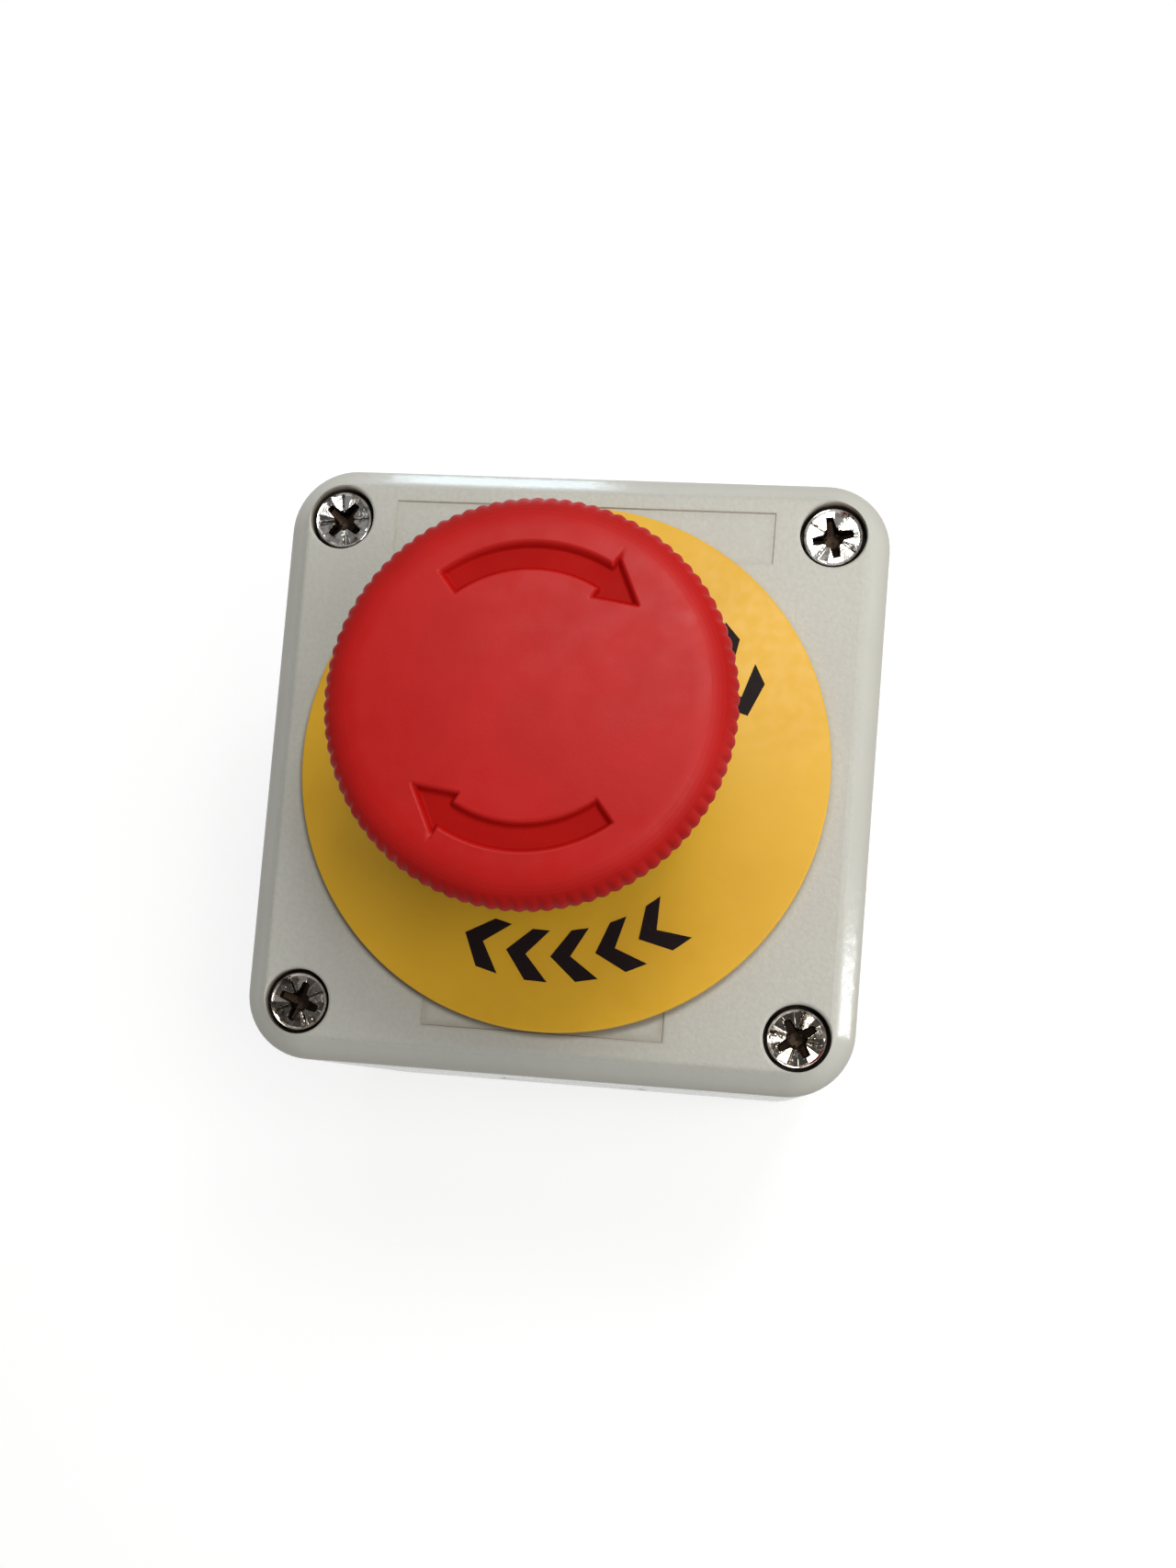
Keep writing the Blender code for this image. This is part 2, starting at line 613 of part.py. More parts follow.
def key_notch(name, bottom, top):
    """Notch beside the 22 mm hole for the nib on the bush."""
    half = KEY_WIDTH / 2 + GAP
    reach = THREAD_RADIUS + KEY_REACH + GAP
    return block(name, (-half, half), (THREAD_RADIUS / 2, reach), (bottom - OVERRUN, top + OVERRUN))


def cover_gasket():
    """Square-section seal in the rim groove, flush with the rim."""
    side = BOX_SIDE - 2 * (RIM_GROOVE_INSET + GAP)
    corner = BOX_CORNER - RIM_GROOVE_INSET - GAP
    bottom = BASE_TOP_Z - RIM_GROOVE_DEPTH + GAP
    item = frame_ring("cover_gasket", side, corner, RIM_GROOVE_WIDTH - 2 * GAP, bottom,
                      COVER_BOTTOM_Z - GAP)
    return finish(item, RUBBER)


def cross_points():
    """Outline of the cross recess, whose arms narrow outwards."""
    far = CROSS_SPAN / 2
    near = CROSS_WIDTH / 2
    end = near - CROSS_TAPER
    quarter = [(far, -end), (far, end), (near, near)]
    points = []
    for turn in range(4):
        cosine = (1, 0, -1, 0)[turn]
        sine = (0, 1, 0, -1)[turn]
        points += [(x * cosine - y * sine, x * sine + y * cosine) for x, y in quarter]
    return points


def cover_screws():
    """Four cheese-head screws with a cross recess, each stopped at its own angle."""
    head_bottom = SCREW_SEAT_Z + GAP
    head_top = head_bottom + SCREW_HEAD_HEIGHT
    tip = head_bottom - SCREW_LENGTH
    profile = [(0.0, head_top), (SCREW_HEAD_RADIUS - SCREW_CHAMFER, head_top),
               (SCREW_HEAD_RADIUS, head_top - SCREW_CHAMFER), (SCREW_HEAD_RADIUS, head_bottom),
               (SCREW_RADIUS, head_bottom), (SCREW_RADIUS, tip + SCREW_RADIUS),
               (SCREW_RADIUS / 2, tip), (0.0, tip)]
    item = turned("cover_screw_1", profile, tip, SMALL_STEPS, closed=False)
    cut(item, outline("cross_recess", cross_points(), head_top - CROSS_DEPTH, head_top + OVERRUN))
    places = []
    for (x, y), turn in zip(corner_spots(SCREW_PITCH), SCREW_TURNS):
        places.append(((x, y, tip), (0.0, 0.0, math.radians(turn))))
    return repeat("cover_screw", finish(item, NICKEL), places)


# Panel side of the actuator

def legend_disc():
    """Yellow disc that the flange of the bush clamps on the cover."""
    item = ring("legend_disc", PANEL_HOLE_RADIUS, LEGEND_RADIUS, LEGEND_Z, LEGEND_Z + LEGEND_THICK,
                FINE_STEPS)
    cut(item, key_notch("legend_notch", LEGEND_Z, LEGEND_Z + LEGEND_THICK))
    return finish(item, YELLOW_PLASTIC)


def panel_gasket():
    """Flat seal between the legend disc and the flange."""
    top = PANEL_SEAL_Z + PANEL_SEAL_THICK
    item = ring("panel_gasket", PANEL_HOLE_RADIUS, PANEL_SEAL_RADIUS, PANEL_SEAL_Z, top)
    cut(item, key_notch("gasket_notch", PANEL_SEAL_Z, top))
    return finish(item, RUBBER)


def threaded_bush():
    """Body of the actuator: cone and flange in front, threaded barrel through the cover."""
    seal_radius = SEAL_OUTER_RADIUS + GAP
    profile = [
        (BUSH_TOP_RADIUS, BUSH_TOP_Z),
        (BUSH_TOP_RADIUS, SEAL_SEAT_Z),
        (NECK_RADIUS, FLANGE_Z + FLANGE_THICK),
        (FLANGE_RADIUS, FLANGE_Z + FLANGE_THICK - BUSH_CHAMFER),
        (FLANGE_RADIUS, FLANGE_Z),
        (THREAD_RADIUS, FLANGE_Z),
        (THREAD_RADIUS, BUSH_BOTTOM_Z + BUSH_CHAMFER),
        (THREAD_RADIUS - BUSH_CHAMFER, BUSH_BOTTOM_Z),
        (LOWER_BORE_RADIUS, BUSH_BOTTOM_Z),
        (LOWER_BORE_RADIUS, LEDGE_Z),
        (BORE_RADIUS, LEDGE_Z),
        (BORE_RADIUS, SEAL_SEAT_Z),
        (seal_radius, SEAL_SEAT_Z),
        (seal_radius, BUSH_TOP_Z),
    ]
    item = turned("threaded_bush", profile, BUSH_BOTTOM_Z)
    key_top = FLANGE_Z + FLANGE_THICK / 2
    join(item, block("locating_key", (-KEY_WIDTH / 2, KEY_WIDTH / 2),
                     (THREAD_RADIUS - SEAL_WALL, THREAD_RADIUS + KEY_REACH),
                     (COVER_UNDER_Z + GAP, key_top)))
    way_half = GUIDE_KEY_WIDTH / 2 + GAP
    way_reach = GUIDE_RADIUS + GUIDE_KEY_REACH + GAP
    cut(item, block("keyways", (-way_reach, way_reach), (-way_half, way_half),
                    (BUSH_BOTTOM_Z - OVERRUN, LEDGE_Z + OVERRUN)))
    slot = LATCH_WIRE + 2 * GAP
    cut(item, blocks("latch_slots", (slot, ACROSS * THREAD_RADIUS, slot),
                     [(side * LATCH_X, 0.0, LATCH_Z) for side in (1, -1)]))
    return finish(item, BLACK_PLASTIC)


def wiper_seal():
    """Lip seal in the top of the bush. Its lip leans up against the hub."""
    bottom = SEAL_SEAT_Z + GAP
    top = bottom + SEAL_THICK
    outer = SEAL_OUTER_RADIUS
    inner = SEAL_INNER_RADIUS
    body = (inner + outer) / 2
    web = SEAL_THICK / 2
    profile = [(outer, top), (outer, bottom), (body, bottom), (inner, top - web), (inner, top),
               (body, bottom + web), (body + GAP, top)]
    return finish(turned("wiper_seal", profile, bottom, PLAIN_STEPS), RUBBER)


def lock_nut():
    """Hexagon nut that clamps cover, legend and seal under the flange."""
    corner_radius = (THREAD_RADIUS + NUT_WALL) / math.cos(math.pi / NUT_SIDES)
    item = rods("lock_nut", corner_radius, NUT_BOTTOM_Z, NUT_TOP_Z, [(0.0, 0.0)],
                NUT_SIDES)
    cut(item, rods("nut_bore", PANEL_HOLE_RADIUS, NUT_BOTTOM_Z - OVERRUN, NUT_TOP_Z + OVERRUN,
                   [(0.0, 0.0)], ROUND_STEPS))
    return finish(item, BLACK_PLASTIC)


def latch_spring():
    """Hairpin through the bush. Its legs snap into the notches of the stem."""
    bow_y = THREAD_RADIUS + GAP + LATCH_WIRE
    points = [(-LATCH_X, -LATCH_LEG, 0.0), (-LATCH_X, 0.0, 0.0)]
    for step in range(BOW_STEPS + 1):
        angle = math.pi - math.pi * step / BOW_STEPS
        points.append((LATCH_X * math.cos(angle), bow_y + LATCH_X * math.sin(angle), 0.0))
    points += [(LATCH_X, 0.0, 0.0), (LATCH_X, -LATCH_LEG, 0.0)]
    return finish(wire("latch_spring", points, LATCH_WIRE, (0.0, 0.0, LATCH_Z)), STEEL)


def mounting_collar():
    """Collar on the end of the bush: round clamping ring above, square skirt for the blocks below."""
    half_width = COLLAR_WIDTH / 2
    half_length = COLLAR_LENGTH / 2
    item = block("mounting_collar", (-half_width, half_width), (-half_length, half_length),
                 (COLLAR_BOTTOM_Z, RING_BOTTOM_Z), BLOCK_WALL, FILLET_STEPS)
    join(item, rods("clamping_ring", RING_RADIUS, RING_BOTTOM_Z - BLOCK_WALL, COLLAR_TOP_Z,
                    [(0.0, 0.0)], ROUND_STEPS))
    cut(item, rods("collar_bore", PANEL_HOLE_RADIUS, COLLAR_BOTTOM_Z - OVERRUN,
                   COLLAR_TOP_Z + OVERRUN, [(0.0, 0.0)], ROUND_STEPS))
    notch_floor = half_length - HOOK_REACH
    notch_middle = BLOCK_TOP_Z + HOOK_RISE + HOOK_HEIGHT / 2
    depth = OVERRUN + HOOK_REACH
    cut(item, blocks("hook_notches", (COLLAR_WIDTH + OVERRUN, depth, HOOK_HEIGHT + 2 * GAP),
                     [(0.0, side * (notch_floor + depth / 2), notch_middle) for side in (1, -1)]))
    holes = rods("grub_holes", GRUB_RADIUS + GAP, -RING_RADIUS - OVERRUN, RING_RADIUS + OVERRUN,
                 [(0.0, 0.0)])
    holes.rotation_euler = (math.pi / 2, 0.0, 0.0)
    holes.location = (0.0, 0.0, (RING_BOTTOM_Z + COLLAR_TOP_Z) / 2)
    cut(item, holes)
    return finish(item, DIE_CAST)


def collar_screws():
    """Two slotted grub screws through the clamping ring."""
    inner = THREAD_RADIUS + GAP
    length = RING_RADIUS - inner
    item = rods("collar_screw_1", GRUB_RADIUS, 0.0, length, [(0.0, 0.0)])
    slot = GRUB_RADIUS / 2
    cut(item, blocks("grub_slot", (slot, ACROSS * GRUB_RADIUS, length / 2), [(0.0, 0.0, length)]))
    height = (RING_BOTTOM_Z + COLLAR_TOP_Z) / 2
    places = [((0.0, side * inner, height), (-side * math.pi / 2, 0.0, 0.0)) for side in (1, -1)]
    return repeat("collar_screw", finish(item, STEEL), places)


# Sliding sleeve and head

def plunger_guide():
    """Sliding sleeve: flange for the return spring, two keys, slots for the legs of the latch."""
    profile = [
        (GUIDE_FLANGE_RADIUS, GUIDE_TOP_Z),
        (GUIDE_FLANGE_RADIUS, GUIDE_FLANGE_Z),
        (GUIDE_RADIUS, GUIDE_FLANGE_Z),
        (GUIDE_RADIUS, GUIDE_BOTTOM_Z),
        (GUIDE_BORE_RADIUS, GUIDE_BOTTOM_Z),
        (GUIDE_BORE_RADIUS, GUIDE_TOP_Z),
    ]
    item = turned("plunger_guide", profile, GUIDE_BOTTOM_Z, PLAIN_STEPS)
    key_top = LEDGE_Z - GUIDE_KEY_DROP
    reach = GUIDE_RADIUS + GUIDE_KEY_REACH
    root = GUIDE_RADIUS - GUIDE_WALL / 2
    for side in (1, -1):
        near, far = sorted((side * root, side * reach))
        join(item, block("guide_key", (near, far), (-GUIDE_KEY_WIDTH / 2, GUIDE_KEY_WIDTH / 2),
                         (key_top - GUIDE_KEY_HEIGHT, key_top)))
    slot_bottom = LATCH_Z - LATCH_WIRE / 2 - GAP
    slot_top = LATCH_Z + LATCH_WIRE / 2 + TRAVEL + GAP
    slot_size = (LATCH_WIRE + 2 * GAP, ACROSS * GUIDE_RADIUS, slot_top - slot_bottom)
    cut(item, blocks("leg_slots", slot_size,
                     [(side * LATCH_X, 0.0, (slot_bottom + slot_top) / 2) for side in (1, -1)]))
    return finish(item, WHITE_PLASTIC)


def plunger_foot():
    """Round foot on the end of the sleeve. It pushes both contact carriers."""
    socket = GUIDE_RADIUS + GAP
    throat = CLIP_RADIUS + GAP
    socket_floor = FOOT_TOP_Z - FOOT_SOCKET
    profile = [(FOOT_RADIUS, FOOT_TOP_Z), (FOOT_RADIUS, FOOT_BOTTOM_Z), (throat, FOOT_BOTTOM_Z),
               (throat, socket_floor), (socket, socket_floor), (socket, FOOT_TOP_Z)]
    return finish(turned("plunger_foot", profile, FOOT_BOTTOM_Z, PLAIN_STEPS), WHITE_PLASTIC)


def return_spring():
    """Coil between the ledge in the bush and the flange of the sleeve."""
    item = compression_spring("return_spring", RETURN_RADIUS, RETURN_WIRE, RETURN_TURNS,
                              RETURN_BOTTOM_Z, RETURN_TOP_Z)
    return finish(item, STEEL)


def release_spring():
    """Torsion spring round the stem, with one straight leg up into the hub."""
    start = RELEASE_WIRE / 2
    points = coil_points(RELEASE_RADIUS, RELEASE_PITCH, RELEASE_TURNS, start)
    x, y, _ = points[-1]
    points.append((x, y, SOCKET_BOTTOM_Z - HUB_BOTTOM_Z - GAP))
    return finish(wire("release_spring", points, RELEASE_WIRE, (0.0, 0.0, GUIDE_TOP_Z + GAP)), STEEL)


def arc(centre, radii, start, stop, steps):
    """Points on an elliptical arc, as (radius, height) pairs."""
    points = []
    for step in range(steps + 1):
        angle = math.radians(start + (stop - start) * step / steps)
        points.append((centre[0] + radii[0] * math.cos(angle), centre[1] + radii[1] * math.sin(angle)))
    return points


def crown_profile():
    """Outside of the cap: shallow dome, round shoulder and a flank that leans in to the rim."""
    face_radius = CAP_RADIUS - CROWN_FILLET
    shoulder_rise = DOME_RISE * (1.0 - DOME_SHOULDER ** 2)
    dome = [(0.0, FACE_Z + DOME_RISE), (face_radius * DOME_SHOULDER, FACE_Z + shoulder_rise)]
    fillet = arc((face_radius, KNURL_TOP_Z), (CROWN_FILLET, CROWN_FILLET), 90.0, 0.0,
                 FILLET_STEPS)
    return dome + fillet + [(RIM_RADIUS, RIM_Z), (0.0, RIM_Z)]


def hollow_profile():
    """Space inside the rim, with a chamfer along the ceiling."""
    outer = RIM_RADIUS - RIM_WALL
    chamfer = RIM_WALL / 2
    bottom = RIM_Z - OVERRUN
    return [(0.0, CEILING_Z), (outer - chamfer, CEILING_Z), (outer, CEILING_Z - chamfer),
            (outer, bottom), (0.0, bottom)]


def hub_profile():
    """Hub that carries the release spring and the stem, with its top inside the crown."""
    bore = HUB_RADIUS - HUB_WALL
    socket = STEM_RADIUS + GAP
    top = CEILING_Z + CROWN_THICK / 2
    return [(0.0, top), (HUB_RADIUS, top), (HUB_RADIUS, HUB_BOTTOM_Z), (bore, HUB_BOTTOM_Z),
            (bore, SOCKET_BOTTOM_Z), (socket, SOCKET_BOTTOM_Z), (socket, SOCKET_TOP_Z),
            (0.0, SOCKET_TOP_Z)]


def knurl_bars(count):
    """Square bars round the flank, edge inwards. Each cuts one V groove."""
    flank_height = KNURL_TOP_Z - RIM_Z
    lean = math.atan((CAP_RADIUS - RIM_RADIUS) / flank_height)
    half_diagonal = KNURL_PITCH * RIM_RADIUS / CAP_RADIUS * GROOVE_SHARE
    middle_radius = (CAP_RADIUS + RIM_RADIUS) / 2 - KNURL_DEPTH + half_diagonal
    bm = bmesh.new()
    for tooth in range(count):
        spin = Matrix.Rotation(math.tau * (tooth + 0.5) / count, 4, 'Z')
        out = Matrix.Translation((middle_radius, 0.0, (KNURL_TOP_Z + RIM_Z) / 2))
        tilt = Matrix.Rotation(lean, 4, 'Y')
        bmesh.ops.create_cone(bm, cap_ends=True, segments=SQUARE_STEPS, radius1=half_diagonal,
                              radius2=half_diagonal, depth=flank_height + 2 * CROWN_FILLET,
                              matrix=spin @ out @ tilt)
    return place("knurl_bars", mesh_from(bm, "knurl_bars"))


def arrow_points(turn):
    """Outline of a curved arrow that points clockwise, turned about the axis."""
    inner = ARROW_RADIUS - ARROW_WIDTH / 2
    outer = ARROW_RADIUS + ARROW_WIDTH / 2
    barb = ARROW_HEAD_WIDTH / 2
    neck = ARROW_NECK + turn
    tip = math.radians(ARROW_TIP + turn)
    points = arc((0.0, 0.0), (outer, outer), ARROW_TAIL + turn, neck, ARROW_STEPS)
    points += arc((0.0, 0.0), (ARROW_RADIUS + barb, ARROW_RADIUS + barb), neck, neck, 1)[:1]
    points.append((ARROW_RADIUS * math.cos(tip), ARROW_RADIUS * math.sin(tip)))
    points += arc((0.0, 0.0), (ARROW_RADIUS - barb, ARROW_RADIUS - barb), neck, neck, 1)[:1]
    points += arc((0.0, 0.0), (inner, inner), neck, ARROW_TAIL + turn, ARROW_STEPS)
    return points


def mushroom_cap():
    """Red head: domed crown, knurled flank, recessed arrows, hub and ribs underneath."""
    teeth = round(math.tau * CAP_RADIUS / KNURL_PITCH)
    item = turned("mushroom_cap", crown_profile(), RIM_Z, teeth, closed=False)
    cut(item, turned("cap_hollow", hollow_profile(), closed=False))
    join(item, turned("cap_hub", hub_profile(), steps=PLAIN_STEPS, closed=False))
    rib_inner = HUB_RADIUS - HUB_WALL / 2
    rib_outer = RIM_RADIUS - RIM_WALL / 2
    for rib in range(CAP_RIBS):
        tool = block("cap_rib", (rib_inner, rib_outer), (-CAP_RIB_THICK / 2, CAP_RIB_THICK / 2),
                     (CEILING_Z - CAP_RIB_DEPTH, CEILING_Z + CROWN_THICK / 3))
        turn = math.radians(CAP_RIB_START + 360.0 * rib / CAP_RIBS)
        centre = tool.location.x
        tool.location.x = centre * math.cos(turn)
        tool.location.y = centre * math.sin(turn)
        tool.rotation_euler.z = turn
        join(item, tool)
    cut(item, knurl_bars(teeth))
    for turn in (0.0, 180.0):
        cut(item, outline("arrow_recess", arrow_points(turn), FACE_Z - ARROW_DEPTH, FACE_Z + OVERRUN))
    return finish(item, RED_PLASTIC)


def head_stem():
    """Stem from the cap down through the sleeve, with latch notches and a clip groove."""
    groove_radius = STEM_RADIUS - CLIP_GROOVE
    chamfer = GAP
    profile = [
        (0.0, STEM_TOP_Z),
        (STEM_RADIUS - chamfer, STEM_TOP_Z),
        (STEM_RADIUS, STEM_TOP_Z - chamfer),
        (STEM_RADIUS, CLIP_TOP_Z + GAP),
        (groove_radius, CLIP_TOP_Z + GAP),
        (groove_radius, CLIP_BOTTOM_Z - GAP),
        (STEM_RADIUS, CLIP_BOTTOM_Z - GAP),
        (STEM_RADIUS, STEM_BOTTOM_Z),
        (0.0, STEM_BOTTOM_Z),
    ]
    item = turned("head_stem", profile, STEM_BOTTOM_Z, PLAIN_STEPS, closed=False)
    height = LATCH_WIRE + 2 * GAP
    depth = NOTCH_DEPTH + OVERRUN
    middle = STEM_RADIUS - NOTCH_DEPTH + depth / 2
    cut(item, blocks("latch_notches", (depth, ACROSS * STEM_RADIUS, height),
                     [(side * middle, 0.0, LATCH_Z + TRAVEL) for side in (1, -1)]))
    return finish(item, STEEL)


def stem_circlip():
    """Open ring in the groove of the stem, under the end of the sleeve."""
    item = ring("stem_circlip", STEM_RADIUS - CLIP_GROOVE + GAP, CLIP_RADIUS, CLIP_BOTTOM_Z, CLIP_TOP_Z,
                PLAIN_STEPS)
    half = STEM_RADIUS / 2
    cut(item, block("clip_mouth", (-half, half), (0.0, CLIP_RADIUS + OVERRUN),
                    (CLIP_BOTTOM_Z - OVERRUN, CLIP_TOP_Z + OVERRUN)))
    return finish(item, STEEL)


# Contact blocks

def span(side, low, high):
    """Limits along X in a contact block, mirrored for the block on the other side."""
    first = side * (BLOCK_X + low)
    second = side * (BLOCK_X + high)
    return (min(first, second), max(first, second))


def housing(kind, side, strip_bottom, look):
    """Moulded housing, open on its outer side, with ribs between contacts and terminals."""
    half_length = BLOCK_LENGTH / 2
    item = block(kind + "_housing", span(side, HOUSING_INNER_X, HOUSING_OUTER_X),
                 (-half_length, half_length), (BLOCK_BOTTOM_Z, BLOCK_TOP_Z))
    inside = span(side, HOUSING_INNER_X + BLOCK_WALL, HOUSING_OUTER_X + OVERRUN)
    for end in (1, -1):
        arm = sorted((end * END_WALL_Y, end * (END_WALL_Y + HOOK_THICK)))
        nose = sorted((end * (END_WALL_Y - HOOK_REACH + GAP), end * (END_WALL_Y + HOOK_THICK / 2)))
        nose_bottom = BLOCK_TOP_Z + HOOK_RISE
        across = span(side, -HOOK_WIDTH / 2, HOOK_WIDTH / 2)
        join(item, block(kind + "_hook_arm", across, arm,
                         (BLOCK_TOP_Z - BLOCK_WALL, nose_bottom + HOOK_HEIGHT)))
        join(item, block(kind + "_hook_nose", across, nose,
                         (nose_bottom, nose_bottom + HOOK_HEIGHT - GAP)))
    cut(item, block(kind + "_strip_room", inside, (-END_WALL_Y, END_WALL_Y),
                    (strip_bottom - GAP, BLOCK_CEILING_Z)))
    cut(item, block(kind + "_centre_room", inside, (-CENTRE_HALF_LENGTH, CENTRE_HALF_LENGTH),
                    (FLOOR_Z, BLOCK_CEILING_Z - GAP)))
    room_height = strip_bottom - FLOOR_Z
    room_size = (inside[1] - inside[0], CHAMBER_LENGTH, room_height)
    room_centre = (sum(inside) / 2, 0.0, FLOOR_Z + room_height / 2)
    cut(item, blocks(kind + "_terminal_rooms", room_size,
                     [(room_centre[0], end * CHAMBER_Y, room_centre[2]) for end in (1, -1)]))
    port_width, port_height = WIRE_PORT
    port_top = strip_bottom - CLAMP_THICK
    cut(item, block(kind + "_wire_ports", span(side, -port_width / 2, port_width / 2),
                    (-half_length - OVERRUN, half_length + OVERRUN), (port_top - port_height, port_top)))
    half_width = CARRIER_WIDTH / 2 + GAP
    half_depth = CARRIER_LENGTH / 2 + GAP
    cut(item, block(kind + "_guide_hole", span(side, -half_width, half_width), (-half_depth, half_depth),
                    (BLOCK_CEILING_Z - OVERRUN, BLOCK_TOP_Z + OVERRUN)))
    cut(item, rods(kind + "_driver_holes", DRIVER_HOLE_RADIUS, BLOCK_BOTTOM_Z - OVERRUN,
                   FLOOR_Z + OVERRUN, [(side * BLOCK_X, end * CHAMBER_Y) for end in (1, -1)]))
    join(item, rods(kind + "_floor_peg", PEG_RADIUS, FLOOR_Z - BLOCK_WALL / 2, FLOOR_Z + BLOCK_WALL,
                    [(side * BLOCK_X, 0.0)]))
    return finish(item, look)


def side_plate(kind, side):
    """Thin plate that closes the open side of the housing."""
    half_length = BLOCK_LENGTH / 2
    item = block(kind + "_side_plate", span(side, BLOCK_WIDTH / 2 - PLATE_THICK, BLOCK_WIDTH / 2),
                 (-half_length, half_length), (BLOCK_BOTTOM_Z, BLOCK_TOP_Z))
    return finish(item, CLEAR_PLASTIC)


def at_both_ends(item, kind, x):
    """The finished piece and its twin at the other end of a block whose axis is at x."""
    y, z = item.location.y, item.location.z
    return repeat(kind, item, [((x, y, z), (0.0, 0.0, 0.0)), ((x, -y, z), (0.0, 0.0, math.pi))])


def fixed_contacts(kind, side, strip_top, tip_side):
    """Two flat strips from the terminals to the contact tips. tip_side is 1 for a tip on top."""
    name = kind + "_fixed_contact"
    axis_x = side * BLOCK_X
    strip_bottom = strip_top - STRIP_THICK
    limits_y = (TIP_SPACING / 2 - STRIP_OVERLAP, END_WALL_Y - GAP)
    item = block(name + "_1", span(side, -STRIP_WIDTH / 2, STRIP_WIDTH / 2), limits_y,
                 (strip_bottom, strip_top))
    if tip_side > 0:
        limits = (strip_bottom + STRIP_THICK / 2, strip_top + TIP_HEIGHT)
    else:
        limits = (strip_bottom - TIP_HEIGHT, strip_top - STRIP_THICK / 2)
    join(item, rods(kind + "_fixed_tip", TIP_RADIUS, *limits, [(axis_x, TIP_SPACING / 2)]))
    cut(item, rods(kind + "_strip_hole", TERMINAL_RADIUS + GAP, strip_bottom - OVERRUN,
                   strip_top + OVERRUN, [(axis_x, CHAMBER_Y)]))
    return at_both_ends(finish(item, BRASS), name, axis_x)


def wire_clamps(kind, side, strip_bottom):
    """Two square clamps under the strips."""
    name = kind + "_wire_clamp"
    axis_x = side * BLOCK_X
    top = strip_bottom - GAP
    half = CLAMP_SIDE / 2
    item = block(name + "_1", span(side, -half, half), (CHAMBER_Y - half, CHAMBER_Y + half),
                 (top - CLAMP_THICK, top))
    cut(item, rods(kind + "_clamp_hole", TERMINAL_RADIUS + GAP, top - CLAMP_THICK - OVERRUN,
                   top + OVERRUN, [(axis_x, CHAMBER_Y)]))
    return at_both_ends(finish(item, NICKEL), name, axis_x)


def terminal_screws(kind, side, strip_top):
    """Two slotted screws, driven from behind, that pull the clamps up to the strips."""
    head_top = strip_top - STRIP_THICK - 2 * GAP - CLAMP_THICK
    head_bottom = head_top - TERMINAL_HEAD_HEIGHT
    tip = strip_top + TERMINAL_PROUD
    profile = [(0.0, tip), (TERMINAL_RADIUS, tip), (TERMINAL_RADIUS, head_top),
               (TERMINAL_HEAD_RADIUS, head_top), (TERMINAL_HEAD_RADIUS, head_bottom),
               (0.0, head_bottom)]
    name = kind + "_terminal_screw"
    item = turned(name + "_1", profile, head_bottom, SMALL_STEPS, closed=False)
    slot = (TERMINAL_RADIUS / 2, ACROSS * TERMINAL_HEAD_RADIUS, TERMINAL_HEAD_HEIGHT)
    cut(item, blocks(kind + "_driver_slot", slot, [(0.0, 0.0, head_bottom)]))
    finish(item, NICKEL)
    item.location.y = CHAMBER_Y
    return at_both_ends(item, name, side * BLOCK_X)


def contact_carrier(kind, side, bridge_top, look):
    """Sliding carrier: post up through the housing, window for the bridge, peg for its spring."""
    bottom = bridge_top - BRIDGE_THICK - GAP - CARRIER_WEB
    half_width = CARRIER_WIDTH / 2
    item = block(kind + "_carrier", span(side, -half_width, half_width),
                 (-CARRIER_LENGTH / 2, CARRIER_LENGTH / 2), (bottom, CARRIER_TOP_Z))
    window = BRIDGE_WIDTH / 2 + GAP
    cut(item, block(kind + "_window", span(side, -window, window), (-CARRIER_LENGTH, CARRIER_LENGTH),
                    (bridge_top - BRIDGE_THICK - GAP, bridge_top + GAP)))
    join(item, rods(kind + "_carrier_peg", PEG_RADIUS, bottom - PEG_LENGTH, bottom + CARRIER_WEB / 2,
                    [(side * BLOCK_X, 0.0)]))
    return finish(item, look)


def contact_bridge(kind, side, bridge_top, tip_side):
    """Moving bridge with a tip at each end. tip_side is 1 for tips on top."""
    bottom = bridge_top - BRIDGE_THICK
    item = block(kind + "_bridge", span(side, -BRIDGE_WIDTH / 2, BRIDGE_WIDTH / 2),
                 (-BRIDGE_LENGTH / 2, BRIDGE_LENGTH / 2), (bottom, bridge_top))
    if tip_side < 0:
        ends = [(side * BLOCK_X, end * TIP_SPACING / 2) for end in (1, -1)]
        join(item, rods(kind + "_moving_tips", TIP_RADIUS, bottom - TIP_HEIGHT,
                        bottom + BRIDGE_THICK / 2, ends))
    return finish(item, BRASS)


def carrier_spring(kind, side, bridge_top):
    """Coil between the floor of the housing and the carrier."""
    top = bridge_top - BRIDGE_THICK - GAP - CARRIER_WEB - GAP
    radius = PEG_RADIUS + GAP + CARRIER_WIRE / 2
    item = compression_spring(kind + "_spring", radius, CARRIER_WIRE, CARRIER_TURNS, FLOOR_Z + GAP, top,
                              side * BLOCK_X)
    return finish(item, STEEL)


def contact_block(kind, side, strip_top, bridge_top, tip_side, look):
    """One contact block. Its carrier and bridge slide together along Z."""
    strip_bottom = strip_top - STRIP_THICK
    housing(kind, side, strip_bottom, look)
    side_plate(kind, side)
    fixed_contacts(kind, side, strip_top, tip_side)
    wire_clamps(kind, side, strip_bottom)
    terminal_screws(kind, side, strip_top)
    carrier_spring(kind, side, bridge_top)
    moving = [contact_carrier(kind, side, bridge_top, look),
              contact_bridge(kind, side, bridge_top, -tip_side)]
    attach(kind + "_slide", Vector((side * BLOCK_X, 0.0, CARRIER_TOP_Z)), moving)


